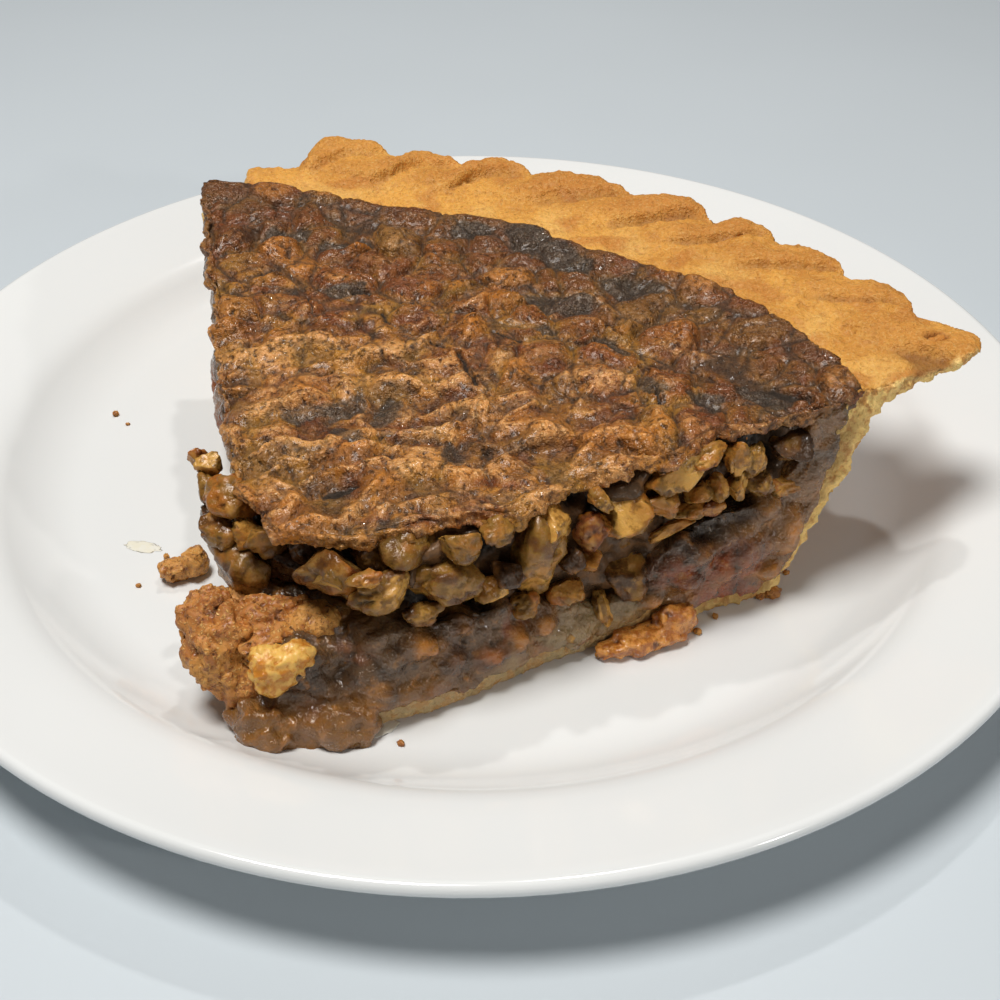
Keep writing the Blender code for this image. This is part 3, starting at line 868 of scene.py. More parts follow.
JELLY_NET = 0.5
JELLY_CUTS = (70, 90, 10)
JELLY_START = 12.0
JELLY_END = 108.0
NUT_BULGE = 1.7
POOL_ROUGHNESS = 0.28
# Lumps of jelly that ran out at the point and along the front: x, y, height, half sizes, turn
POOLS = (
    (-31.4, -76.0, 6.0, (6.2, 6.0, 6.8), 10.0), (-20.8, -75.4, 5.4, (7.6, 4.8, 6.0), 16.0),
    (-26.0, -71.5, 6.0, (8.5, 5.0, 9.0), 20.0), (-25.5, -70.4, 13.5, (9.0, 5.5, 8.0), 24.0),
)
# Nuts that bulge under the jelly of the open cut: radius, height, half width, half height, amber, red
EMBEDDED = (
    (28.0, 18.0, 4.4, 3.6, 1.0, 0.0), (39.5, 11.8, 3.8, 2.8, 0.3, 1.2), (35.0, 19.2, 3.6, 2.4, 0.8, 0.3),
    (49.5, 14.5, 3.4, 3.2, 0.9, 0.4), (19.5, 11.0, 4.0, 3.4, 0.4, 0.0), (44.5, 13.0, 2.4, 3.0, 0.7, 0.2),
    (87.5, 15.2, 5.4, 6.0, 0.1, 1.0), (97.0, 18.5, 3.6, 6.5, 1.0, 0.0), (93.0, 11.5, 5.0, 2.6, 0.8, 0.4),
    (76.5, 15.0, 3.4, 2.6, 0.0, 0.4), (79.0, 20.5, 4.4, 2.4, 0.1, 0.2), (70.0, 12.6, 3.4, 2.4, 0.5, 0.3),
    (92.0, 25.0, 3.6, 3.0, 0.3, 0.0), (22.5, 17.0, 3.4, 3.0, 0.0, 0.0), (33.0, 13.0, 3.0, 3.0, 0.1, 0.2),
)
# Hollows left between the nuts of the open cut, painted near black as shade: radius, height, half width
HOLLOWS = ((40.5, 31.0, 3.0), (32.0, 21.6, 3.6), (38.0, 21.6, 3.6), (27.0, 25.0, 2.4), (56.5, 36.5, 2.6),
           (60.5, 33.0, 1.6), (84.0, 38.5, 2.8), (90.5, 38.0, 3.2), (92.0, 33.0, 2.6), (46.0, 23.5, 2.0),
           (80.0, 24.5, 3.0), (86.5, 26.0, 3.0))


def hollow(radius, height):
    """1 in the middle of a dark hollow of the open cut, and 0 outside them all."""
    return max(fade(math.hypot(radius - r, height - z) / half, 0.7, 1.5) for r, z, half in HOLLOWS)


def add_lump(bm, spec, roughness, seed, squareness=0.9, subdivisions=4):
    """An uneven rounded lump, given as x, y, height, half sizes and turn, added to bm."""
    x, y, height, halves, turned = spec
    made = bmesh.ops.create_icosphere(bm, subdivisions=subdivisions, radius=1.0)
    turn = Matrix.Rotation(math.radians(turned), 3, "Z")
    middle = Vector((x, y, height))
    for vert in made["verts"]:
        square = Vector([math.copysign(abs(value) ** squareness, value) for value in vert.co])
        size = Vector([value * half for value, half in zip(square, halves)])
        size *= 1.0 + roughness * lumps(3.0 * vert.co, 1.0, seed)
        vert.co = (middle + turn @ size) * MM


def jelly_shape(share, out, up):
    """Dark jelly between the base and the walnuts, up to the baked top beyond them."""
    angle = mix(RIGHT_CUT, LEFT_CUT, share)
    radius = mix(JELLY_START, JELLY_END, out)
    over = fade(share, 0.0, 0.03)
    bottom = ramp(radius, BASE_TOP) - 0.4
    bottom -= over * (1.3 + 1.6 * lumps(Vector((radius, 0.0, 0.0)), 5.0, 6.0)) * smooth(radius, 24.0, 34.0)
    top = jelly_top(radius, angle)
    top = mix(top, baked_underside(radius, angle) + 0.8, smooth(radius, 97.0, 99.5))
    height = mix(bottom, top, up)
    radius = min(radius, ramp(height, WALL_INSIDE) + 0.6)
    point = place(radius, angle, height)
    slump = 1.2 * math.sin(math.pi * up * 0.8 + 0.3) - 0.6 + 1.3 * lumps(point, 7.0, 2.0)
    slump += 0.9 * fade(up, 0.0, 0.3)
    slump += bulge(share, radius, height) / max(near_cut(share), 0.001)
    slump += 1.2 * smooth(radius, 62.0, 72.0) * fade(radius, 92.0, 100.0) * math.sin(math.pi * up)
    return place(radius, angle, height, slump * near_cut(share) * smooth(radius, 8.0, 16.0))


def jelly_unseen(point):
    """True well inside the slice, where the walnuts, the pastry and the baked top hide the jelly."""
    return behind_cut(point) > 9.0 and polar(point)[0] > 24.0


def jelly_surface(point, normal):
    """How far the jelly stands out at a point, and its masks."""
    radius, angle = polar(point)
    depth = 0.8 * lumps(point, 5.0, 1.0) + 0.35 * grit(point, 2.8, 5.0)
    depth += 0.8 * domes(point, 6.0, 3.0) + 0.22 * grit(point, 1.6, 7.0) - 0.4
    thin = max(fade(point.z - plate_surface(point), 5.0, 11.0) * fade(radius, 22.0, 44.0),
               0.9 * smooth(radius, 88.0, 97.0) * fade(point.z, 26.0, 34.0),
               0.75 * smooth(lumps(point, 8.0, 8.0), 0.02, 0.35))
    red = max(smooth(radius, 66.0, 76.0) * fade(point.z, 16.0, 23.0) * fade(radius, 90.0, 97.0),
              0.8 * smooth(lumps(point, 7.0, 12.0), 0.15, 0.45) * fade(point.z, 14.0, 22.0))
    furrow, nut, golden = 0.0, 0.0, 0.0
    if angle < RIGHT_CUT + 12.0:
        # furrow is painted shade: near black in the hollows and in a ring round each embedded nut
        furrow = hollow(radius, point.z)
        depth -= 1.4 * furrow
        for r, z, wide, high, is_amber, is_red in EMBEDDED:
            near = fade(math.hypot((radius - r) / wide, (point.z - z) / high), 0.2, 1.15)
            depth += NUT_BULGE * near
            ring = near * (1.0 - near) * smooth(lumps(point, 3.5, 16.0), -0.5, 0.3)
            furrow = max(furrow, 3.0 * ring)
            nut = max(nut, near)
            golden = max(golden, near * is_amber)
            thin = mix(thin, is_amber, near)
            red = mix(red, is_red, near)
    soaked = fade(point.z + 3.0 * lumps(point, 5.0, 15.0), 11.0, 17.0)
    soaked *= smooth(radius, 36.0, 46.0) * fade(radius, 70.0, 80.0) * (1.0 - 0.7 * red) * (1.0 - 0.8 * nut)
    return depth, thin, red, soaked, min(furrow, 1.0), golden


def jelly_material(settings):
    made, tree, grain = new_material("dark_custard", 2.6)
    crumb = grain["Crumb"]
    deep = span(tree, mask(tree, "thin"), 0.0, 0.6, 0.7, 0.12)
    colour = layered(
        tree, settings.dark, (span(tree, grain["Cloud"], 0.38, 0.62), srgb(0.44, 0.33, 0.22)),
        (masked(tree, "red", span(tree, crumb, 0.32, 0.6, 0.3, 1.0)), srgb(0.54, 0.25, 0.11)),
        (masked(tree, "thin", span(tree, crumb, 0.25, 0.6, 0.6, 1.0)), settings.amber),
        (span(tree, crumb, 0.54, 0.72, 0.0, 0.6), srgb(0.70, 0.47, 0.22)),
        (times(tree, span(tree, crumb, 0.45, 0.32), deep), srgb(0.17, 0.13, 0.10)),
        (masked(tree, "soaked", span(tree, crumb, 0.25, 0.55, 0.5, 0.9)), srgb(0.60, 0.50, 0.34)),
        (masked(tree, "golden", span(tree, crumb, 0.30, 0.58, 0.35, 1.0)), srgb(0.72, 0.47, 0.18)),
        # painted shade in the hollows and round the embedded nuts
        (masked(tree, "furrow", 0.75), srgb(0.09, 0.07, 0.06)))
    set_surface(tree, colour, span(tree, crumb, 0.3, 0.7, 0.05, 0.14), 0.65, WARM_SHEEN, (0.3, 0.04),
                (0.35, (0.0032, 0.0015, 0.0006)))
    set_bump(tree, summed(tree, (crumb, 1.0), (grain["Fine"], 0.45)), 1.0, 0.9)
    return made


class PIE_OT_filling(bpy.types.Operator):
    """Shapes the dark jelly and the pools that ran out of it"""
    bl_idname = "pie.filling"
    bl_label = "Filling"

    def execute(self, context):
        bm = block(JELLY_CUTS, jelly_shape)
        for number, spec in enumerate(POOLS):
            add_lump(bm, spec, POOL_ROUGHNESS, number)
        bm = netted(bm, JELLY_NET, jelly_unseen)
        soften(bm, 2)
        emboss(bm, jelly_surface, ("thin", "red", "soaked", "furrow", "golden"))
        keep_inside(bm)
        finish("custard_fine", bm, jelly_material(context.scene.pie_filling), "dark_custard", "custard")
        return {"FINISHED"}


# ---------------------------------------------------------------- walnuts

SEED = 7
ROUNDING = 0.12              # how gently a chunk's broken faces meet its skin, as a share of it
SHAVING = 0.94               # how far a face is pressed back towards its plane
CORE_INSET = 2.6
CORE_NET = 0.9
CORE_CUTS = (50, 70, 12)
CORE_START = 27.0
CORE_END = 100.0
# The small chunks between those in the tables
RIGHT_COUNT = 60
LEFT_COUNT = 90
TRIES = 14                   # how many places are tried for each
SMALLEST = 1.4               # half width of the smallest
CROWDING = 0.78              # how close two chunks may lie, as a share of their half widths
HEAP_RADII = (25.0, 99.0)
HEAP_DEPTHS = (1.0, 4.4)     # how far behind the cut they lie
LOOSE_KINDS = ("olive", "ochre", "brown", "dark", "olive", "brown", "amber")
# What a piece of walnut shows: its tint from olive through ochre to red, and how bare its broken faces are
KINDS = {"dark": (0.02, 0.0), "plum": (0.10, 0.0), "brown": (0.26, 0.45), "olive": (0.40, 0.62),
         "ochre": (0.55, 0.85), "pale": (0.64, 1.0), "gold": (0.72, 1.0), "amber": (0.82, 0.69),
         "red": (0.97, 0.40)}
# Large pieces on the open cut: radius, height, half width, half height, kind
CUT_NUTS = (
    (23.0, 30.0, 5.2, 2.8, "olive"), (19.5, 33.6, 2.9, 1.8, "pale"), (34.0, 28.0, 6.0, 4.2, "brown"),
    (42.0, 22.8, 3.6, 2.8, "ochre"), (43.5, 26.6, 2.4, 2.4, "dark"), (35.5, 35.2, 3.6, 2.8, "olive"),
    (41.5, 36.0, 3.0, 2.2, "olive"), (49.0, 27.5, 4.2, 7.0, "olive"), (51.0, 29.5, 1.9, 2.8, "pale"),
    (51.0, 33.8, 3.6, 3.0, "ochre"), (59.0, 29.5, 3.2, 4.0, "red"), (58.8, 24.4, 2.4, 2.6, "pale"),
    (54.5, 19.0, 3.0, 2.6, "pale"), (61.5, 12.2, 2.2, 3.8, "pale"), (47.5, 18.5, 3.0, 2.1, "ochre"),
    (66.4, 17.6, 3.8, 5.6, "brown"), (65.0, 31.4, 3.8, 4.8, "ochre"), (60.0, 36.0, 2.6, 2.0, "olive"),
    (75.0, 36.5, 6.0, 3.6, "ochre"), (79.5, 38.6, 3.4, 2.0, "amber"), (71.5, 31.5, 4.0, 2.4, "ochre"),
    (73.5, 25.5, 4.2, 1.4, "pale"), (85.5, 36.6, 2.2, 3.2, "ochre"), (88.6, 35.4, 1.8, 3.0, "ochre"),
    (82.0, 31.6, 2.2, 2.6, "pale"), (85.6, 30.4, 1.5, 3.2, "pale"), (78.4, 31.8, 2.7, 1.5, "ochre"),
    (77.0, 28.4, 3.0, 1.4, "ochre"), (81.0, 28.0, 2.6, 1.5, "amber"), (95.5, 28.0, 5.0, 1.6, "pale"),
    (96.5, 36.2, 4.0, 3.2, "plum"), (91.0, 30.0, 3.0, 2.4, "brown"), (55.0, 25.0, 2.2, 2.4, "dark"),
    (28.5, 23.6, 3.4, 1.8, "brown"), (53.0, 9.8, 2.9, 2.4, "olive"),
)
# Large pieces under the left front edge: x, y, height, half width, kind
FRONT_NUTS = (
    (-37.3, -52.0, 33.6, 4.4, "amber"), (-35.3, -56.6, 30.0, 3.0, "gold"), (-40.0, -55.4, 29.0, 3.2, "olive"),
    (-36.0, -56.8, 24.0, 5.4, "olive"), (-31.5, -58.4, 31.0, 3.4, "brown"), (-43.0, -44.6, 35.0, 2.2, "gold"),
    (-46.0, -41.0, 33.6, 1.7, "amber"), (-20.8, -65.6, 31.0, 5.2, "amber"), (-20.5, -69.0, 32.0, 2.8, "gold"),
    (-14.5, -63.5, 32.6, 3.4, "brown"), (-8.5, -62.5, 34.0, 4.0, "brown"), (-26.0, -58.5, 30.0, 3.4, "dark"),
    (-29.0, -57.5, 25.0, 3.6, "dark"), (-24.0, -59.0, 24.0, 3.0, "dark"), (-41.5, -50.0, 27.5, 3.2, "dark"),
    (-42.5, -46.5, 31.0, 3.0, "brown"), (-17.5, -66.6, 27.0, 3.0, "olive"),
)
FRONT_FACING = (-0.2, -0.8, 0.5)


def core_shape(share, out, up):
    """The shaded inside of the heap of walnuts, set back from both cuts."""
    angle = mix(RIGHT_CUT, LEFT_CUT, share)
    radius = mix(CORE_START, CORE_END, out)
    height = mix(jelly_top(radius, angle) - 1.0, baked_underside(radius, angle) - 1.4, up)
    point = place(radius, angle, height)
    uneven = 2.4 * lumps(point, 6.0, 4.0) - CORE_INSET
    if share < 0.5:
        uneven -= 3.0 * hollow(radius, height)
    return place(radius, angle, height, uneven * near_cut(share, 0.2))


def core_surface(point, normal):
    """How far the core stands out at a point, and how much painted shade it has there."""
    radius, angle = polar(point)
    depth = 1.2 * grit(point, 6.0, 1.0) + 1.0 * domes(point, 7.0, 2.0) - 0.5
    if angle < MIDDLE:
        return depth, max(hollow(radius, point.z), smooth(behind_cut(point), 4.0, 7.0))
    return depth, smooth(lumps(point, 8.0, 3.0), -0.3, 0.3)


def core_material():
    made, tree, grain = new_material("walnut_shade", 3.0)
    crumb = grain["Crumb"]
    colour = blend(tree, span(tree, crumb, 0.35, 0.65), srgb(0.29, 0.22, 0.16), srgb(0.45, 0.32, 0.20))
    # painted shade: near black in the hollows and deeper behind the right cut, and in random patches on the
    # left
    colour = blend(tree, mask(tree, "hollow"), colour, srgb(0.11, 0.105, 0.10))
    set_surface(tree, colour, span(tree, crumb, 0.3, 0.7, 0.20, 0.5), 0.35, WARM_SHEEN)
    set_bump(tree, crumb, 0.7, 0.8)
    return made


def walnut_material(settings, name, fresh=0.0):
    """Skin over flesh; fresh is how much both look newly broken."""
    made, tree, grain = new_material(name, 1.9)
    crumb = grain["Crumb"]
    blotch = span(tree, cloudy(tree, object_space(tree), 260.0, 2.0)["Fac"], 0.32, 0.68, -0.26, 0.24)
    tint = summed(tree, (mask(tree, "tint"), 1.0), (blotch, 1.0))
    skin = palette(tree, tint, srgb(0.28, 0.19, 0.12), srgb(0.49, 0.32, 0.16), srgb(0.62, 0.46, 0.20),
                   settings.skin, srgb(0.76, 0.47, 0.18), srgb(0.52, 0.29, 0.15))
    broken = blend(tree, span(tree, crumb, 0.38, 0.60), srgb(0.84, 0.54, 0.19), srgb(1.0, 0.80, 0.42))
    skin = layered(tree, skin, (span(tree, crumb, 0.50, 0.30, 0.0, 0.35), srgb(0.30, 0.19, 0.09)),
                   (span(tree, crumb, 0.55, 0.75, 0.0, 0.35), srgb(0.76, 0.54, 0.26)), (fresh, broken))
    flesh = layered(tree, settings.flesh, (span(tree, grain["Cloud"], 0.35, 0.65), srgb(0.74, 0.48, 0.19)),
                    (fresh, srgb(1.0, 0.80, 0.40)),
                    (span(tree, crumb, 0.50, 0.32, 0.0, 0.4), srgb(0.60, 0.38, 0.15)))
    patchy = masked(tree, "flesh", span(tree, crumb, 0.35, 0.60, 0.45, 1.15))
    colour = layered(tree, skin, (span(tree, patchy, 0.10, 0.80), flesh),
                     # painted shade from each chunk's shade mask
                     (masked(tree, "shade", 0.85), srgb(0.20, 0.12, 0.06)))
    set_surface(tree, colour, span(tree, crumb, 0.3, 0.7, 0.16, 0.42), 0.4, WARM_SHEEN, (0.15, 0.05),
                (0.2, (0.0022, 0.0012, 0.0005)))
    set_bump(tree, summed(tree, (crumb, 1.0), (grain["Fine"], 0.3)), 0.45, 0.8)
    return made


def shaved(point, side, offset):
    """A point pressed back to a plane across a chunk, over a rounded edge, and how far it was pressed."""
    over = point.dot(side) - offset
    if over <= -ROUNDING:
        return point, 0.0
    pressed = over if over > ROUNDING else (over + ROUNDING) ** 2 / (4.0 * ROUNDING)
    return point - side * pressed * SHAVING, smooth(over, 0.0, 2.0 * ROUNDING)


def random_vector(rng, spread):
    return Vector([rng.gauss(0.0, spread) for _ in range(3)])


def random_turn(rng, axis, low, high):
    return Matrix.Rotation(rng.uniform(low, high), 3, axis)


def add_chunk(bm, middle, size, turn, kind, rng, subdivisions=3, facing=None):
    """A broken piece of walnut: a furrowed lump with flat broken faces, in millimetres."""
    layers = [mask_layer(bm, name) for name in ("flesh", "tint", "shade")]
    made = bmesh.ops.create_icosphere(bm, subdivisions=subdivisions, radius=1.0)
    seed = Vector([rng.uniform(0.0, 90.0) for _ in range(3)])
    tint, bareness = KINDS[kind]
    tint += rng.uniform(-0.13, 0.13)
    planes = [(random_vector(rng, 1.0).normalized(), rng.uniform(0.35, 0.75))
              for _ in range(rng.choice((2, 3, 4)))]
    away = outward(RIGHT_CUT if polar(middle)[1] < MIDDLE else LEFT_CUT) + Vector((0.0, 0.0, 0.6))
    away = (turn.inverted() @ away).normalized()
    if facing:
        tilted = (turn.inverted() @ (facing + random_vector(rng, 0.45))).normalized()
        planes[0] = (tilted, rng.uniform(0.50, 0.75) + 0.25 * (bareness < 0.7) + 0.2 * (bareness < 0.3))
    for vert in made["verts"]:
        point = vert.co.copy()
        furrow = fade(abs(noise.noise(1.3 * point + seed)), 0.0, 0.14)
        bare = 0.0
        point *= 1.0 + 0.36 * noise.noise(1.1 * point + seed) - 0.18 * furrow
        for side, offset in planes:
            point, pressed = shaved(point, side, offset + 0.12 * noise.noise(2.0 * point + seed))
            bare = max(bare, pressed)
        if facing:
            front = vert.co.dot(tilted) + 0.9 * noise.noise(2.2 * vert.co - seed)
            bare = max(bare, 0.8 * smooth(front, 0.45, 0.95))
        ridged = abs(noise.noise(3.2 * point - seed))
        point *= 1.0 + 0.16 * ridged * (1.0 - bare) + 0.04 * noise.noise(4.0 * point + seed)
        local = middle + turn @ Vector([value * half for value, half in zip(point, size)])
        vert.co = local * MM
        own = 0.70 - 0.70 * smooth(vert.co.dot(away), -0.30, 0.35)     # differs from chunk to chunk
        # shade is painted shade: darker in the furrows of the skin and deeper behind the cut; own adds a
        # darkening that differs from chunk to chunk
        shade = max(0.8 * furrow * (1.0 - bare), 0.9 * smooth(behind_cut(local), 1.5, 6.0), own)
        for layer, value in zip(layers, (bare * bareness, tint, min(shade, 1.0))):
            vert[layer] = value


def scatter_chunks(bm, rng, cut, count, largest, placed):
    """Chunks all over one cut face of the heap between those placed, the larger ones first."""
    side = 1.0 if cut == RIGHT_CUT else -1.0
    done = 0
    for _ in range(count * TRIES):
        if done >= count:
            break
        half = mix(largest, SMALLEST, (done / count) ** 0.6) * rng.uniform(0.85, 1.15)
        radius = rng.uniform(*HEAP_RADII)
        deep = rng.uniform(*HEAP_DEPTHS)
        angle = cut + side * math.degrees((half * 0.6 + deep) / radius)
        low, high = jelly_top(radius, angle) - 0.4 * half, baked_underside(radius, angle) - 0.4 * half
        height = rng.uniform(low, high)
        if any(math.hypot(radius - r, height - z) < CROWDING * (half + h) for r, z, h in placed):
            continue
        placed.append((radius, height, half))
        done += 1
        size = (half * rng.uniform(0.9, 1.4), half * rng.uniform(0.7, 1.0), half * rng.uniform(0.65, 1.0))
        turn = random_turn(rng, "Z", 0.0, math.tau) @ random_turn(rng, "X", 0.0, math.tau)
        kind = rng.choice(LOOSE_KINDS)
        add_chunk(bm, place(radius, angle, height), size, turn, kind, rng, 3 if half > 2.4 else 2)


class PIE_OT_walnuts(bpy.types.Operator):
    """Heaps broken walnuts over a dark core"""
    bl_idname = "pie.walnuts"
    bl_label = "Walnuts"

    def execute(self, context):
        settings = context.scene.pie_walnuts
        largest = settings.largest / MM
        core = netted(block(CORE_CUTS, core_shape), CORE_NET)
        emboss(core, core_surface, ("hollow",))
        finish("walnut_core", core, core_material(), "walnut", "walnut_layer")
        rng = random.Random(SEED)
        right, left = bmesh.new(), bmesh.new()
        upright = Matrix.Rotation(math.radians(RIGHT_CUT), 3, "Z")
        placed = []
        for radius, height, wide, high, kind in CUT_NUTS:
            deep = min(wide, high) * 0.9 + 0.6
            tilt = random_turn(rng, "Y", -0.3, 0.3) @ random_turn(rng, "X", -0.3, 0.3)
            middle = place(radius, RIGHT_CUT, height, 0.5 - 0.6 * deep)
            add_chunk(right, middle, (wide, deep, high), upright @ tilt, kind, rng, 4,
                      outward(RIGHT_CUT) + Vector((0.0, 0.0, 0.4)))
            placed.append((radius, height, 0.5 * (wide + high)))
        placed += HOLLOWS
        scatter_chunks(right, rng, RIGHT_CUT, RIGHT_COUNT, largest, placed)
        finish("walnuts_right", right, walnut_material(settings, "walnuts_right"), "walnut")
        placed = []
        for x, y, height, half, kind in FRONT_NUTS:
            turn = random_turn(rng, "Z", 0.0, math.tau) @ random_turn(rng, "X", -0.6, 0.6)
            add_chunk(left, Vector((x, y, height)), (half * 1.1, half * 0.9, half), turn, kind, rng, 4,
                      Vector(FRONT_FACING))
            placed.append((polar(Vector((x, y)))[0], height, half))
        scatter_chunks(left, rng, LEFT_CUT, LEFT_COUNT, largest, placed)
        finish("walnuts_left", left, walnut_material(settings, "walnuts_left"), "walnut")
        return {"FINISHED"}


# ---------------------------------------------------------------- baked top

TOP_NET = 0.36
TOP_CUTS = (110, 110, 3)
TOP_START = 16.0
TOP_START_ANGLE = 60.0
TOP_START_LEFT = 26.0
TOP_START_RIGHT = 12.0
EDGE_DROOP = 2.2             # how much deeper the skin is along the left cut
DEEPEST_DENT = -1.7
WRINKLE_TURN = 13.0          # degrees between the wrinkles and +X
WRINKLE_LENGTH = 13.0
WRINKLE_WIDTH = 4.6
NUT_WIDTH = 8.4              # nuts and smaller lumps under the skin
SMALL_WIDTH = 4.4
TOP_MASKS = ("amber", "rimward", "slate", "gap", "high", "crown", "tint")

# How far the skin's edge lies behind the open cut, as (radius, millimetres)
SET_BACK = ((14.0, 8.0), (20.0, 6.8), (24.0, 6.0), (29.0, 5.6), (32.0, 3.8), (38.0, 2.4), (42.5, 2.0),
            (45.0, 0.2), (49.0, 1.8), (56.0, 1.4), (60.0, 2.2), (64.0, 1.0), (67.0, 2.8), (70.0, 0.2),
            (76.0, 0.5), (79.0, 1.8), (82.0, 3.4), (86.0, 2.6), (90.0, 1.5), (94.0, 0.0))
# Splits in the skin: x, y, length, turn from +X, half width
CRACKS = (
    (-0.6, -24.0, 10.0, -70.0, 0.75), (-30.0, -5.5, 6.0, -75.0, 0.45), (-27.5, -9.0, 4.0, -20.0, 0.6),
    (-21.0, -1.0, 3.3, 20.0, 0.8), (-16.0, -9.0, 3.6, -60.0, 0.5), (-6.0, -17.0, 2.5, -30.0, 0.7),
    (6.5, -15.5, 5.7, -35.0, 0.6), (25.5, -13.0, 5.0, -60.0, 0.6), (32.0, -35.0, 4.8, -78.0, 0.5),
    (54.0, -34.0, 6.8, -37.0, 1.4), (-37.0, -2.0, 2.8, 10.0, 0.9), (-25.0, -24.0, 2.4, 34.0, 0.6),
    (30.5, -25.5, 2.4, -50.0, 0.6), (58.0, -39.0, 5.0, 30.0, 0.9), (-39.0, -29.5, 3.7, 30.0, 0.6),
    (-14.0, -41.0, 2.6, -10.0, 0.6), (-20.0, -55.0, 5.0, 16.0, 1.2),
)
# Nuts that show through the skin: x, y, half width
AMBER_BUMPS = (
    (-7.5, 12.5, 3.2), (-32.5, 7.0, 4.6), (21.5, -46.0, 4.4), (3.0, -2.5, 4.2), (0.0, -13.0, 3.4),
    (-13.5, -55.0, 4.6), (-35.5, -58.0, 4.0), (-46.0, -12.5, 3.6), (-19.0, -47.0, 4.6), (13.5, -41.0, 4.4),
    (28.0, -45.0, 5.2), (-29.0, -30.0, 4.0), (-38.0, 12.0, 4.0), (-22.0, 13.5, 3.0), (8.0, -26.0, 3.2),
    (-25.0, -63.0, 5.0), (38.0, -14.0, 3.4),
)
# Dark patches: x, y, half width, length, turn
SLATE_PATCHES = (
    (10.5, 17.5, 7.5, 4.0, -60.0), (17.5, 10.5, 5.0, 6.0, -35.0), (-1.0, 21.0, 4.0, 3.0, 0.0),
    (-24.5, -34.5, 2.8, 12.0, 16.0), (-14.0, -35.0, 3.8, 2.0, 60.0), (-20.0, -42.0, 2.6, 2.0, -40.0),
    (-24.0, -1.0, 3.4, 3.0, 20.0), (16.0, -4.0, 5.0, 6.0, -30.0), (30.0, 0.0, 4.6, 7.0, -20.0),
    (12.5, -13.0, 3.4, 2.0, 0.0), (-11.5, -63.5, 2.6, 2.0, 0.0), (31.0, -32.0, 3.2, 3.0, -40.0),
    (39.0, -34.5, 3.4, 3.0, -30.0), (-2.0, -47.0, 2.6, 4.0, -50.0), (-25.0, 15.0, 3.6, 5.0, 10.0),
    (-36.0, 17.0, 3.6, 5.0, 10.0), (48.0, -33.0, 4.0, 6.0, -30.0), (25.0, -19.0, 3.4, 4.0, -40.0),
)
# Long folds that catch the light: x, y, half width, length, turn
RIDGES = (
    (-14.0, -29.5, 3.0, 15.0, 11.0), (2.0, -34.5, 3.0, 14.0, 8.0), (-34.0, -34.0, 3.0, 12.0, 16.0),
    (-11.0, -40.5, 3.0, 14.0, 12.0), (8.5, -43.5, 3.0, 13.0, 10.0), (22.5, -29.5, 3.0, 12.0, -15.0),
    (-33.0, -17.5, 3.0, 14.0, 15.0), (-16.0, -19.0, 3.0, 14.0, 18.0), (-30.0, -46.0, 3.0, 13.0, 12.0),
    (-9.0, -50.5, 3.0, 12.0, 8.0), (40.0, -22.0, 3.0, 12.0, -30.0), (24.0, -6.0, 3.0, 12.0, -30.0),
)


def top_start(angle):
    """Radius at which the baked top broke off."""
    away = (angle - TOP_START_ANGLE) / TOP_START_ANGLE
    return TOP_START + (TOP_START_LEFT if away > 0.0 else TOP_START_RIGHT) * away ** 2


def top_shape(share, out, up):
    """The baked skin over the slice, with ragged cut edges."""
    angle = mix(RIGHT_CUT, LEFT_CUT, share)
    radius = mix(top_start(angle), rim_edge_radius(angle) + 0.9, out)
    first = RIGHT_CUT + math.degrees(math.asin(min(ramp(radius, SET_BACK) / radius, 0.7)))
    angle = mix(first, LEFT_CUT, share)
    thin = smooth(out, 0.96, 1.0)
    thickness = TOP_THICKNESS * mix(up, 0.55 + 0.45 * up, thin)
    height = baked_underside(radius, angle) + thickness
    point = place(radius, angle, height)
    droop = near_cut(share, 0.04) * fade(radius, 78.0, 92.0) * (0.25 if share < 0.5 else 1.0)
    height -= EDGE_DROOP * droop * (1.0 - up) * max(0.0, 0.6 + 1.2 * lumps(point, 6.0, 21.0))
    height -= 0.8 * droop * up
    ragged = 1.6 * lumps(point, 6.5, 9.0) + 1.1 * lumps(point, 2.8, 10.0) - 0.6 + 0.6 * (1.0 - up)
    radius -= 1.8 * lumps(point, 5.0, 14.0) * fade(out, 0.0, 0.06)
    return place(radius, angle, height, ragged * near_cut(share, 0.05))


def top_unseen(point):
    """True on the underside of the skin, away from its cut edges."""
    radius, angle = polar(point)
    beside = min(angle - RIGHT_CUT - 6.0 * (radius < 92.0), LEFT_CUT - angle) * math.radians(radius)
    return (point.z < baked_top(radius, angle) - 0.5 * TOP_THICKNESS and beside > 6.0
            and radius > top_start(angle) + 4.0)


def wrinkles(point):
    """Height of the long folds in the skin, from 0 to 1."""
    turn = math.radians(WRINKLE_TURN)
    along = point.x * math.cos(turn) + point.y * math.sin(turn)
    across = point.y * math.cos(turn) - point.x * math.sin(turn)
    folded = noise.noise(Vector((along / WRINKLE_LENGTH, across / WRINKLE_WIDTH, 2.0)))
    return 1.0 - min(1.0, 3.2 * abs(folded))


def warped(point, reach, size, seed):
    """A point of the plan moved up to reach millimetres, so that nothing on it is quite round or straight."""
    return Vector((point.x + reach * lumps(point, size, seed),
                   point.y + reach * lumps(point, size, seed + 1.0), 0.0))


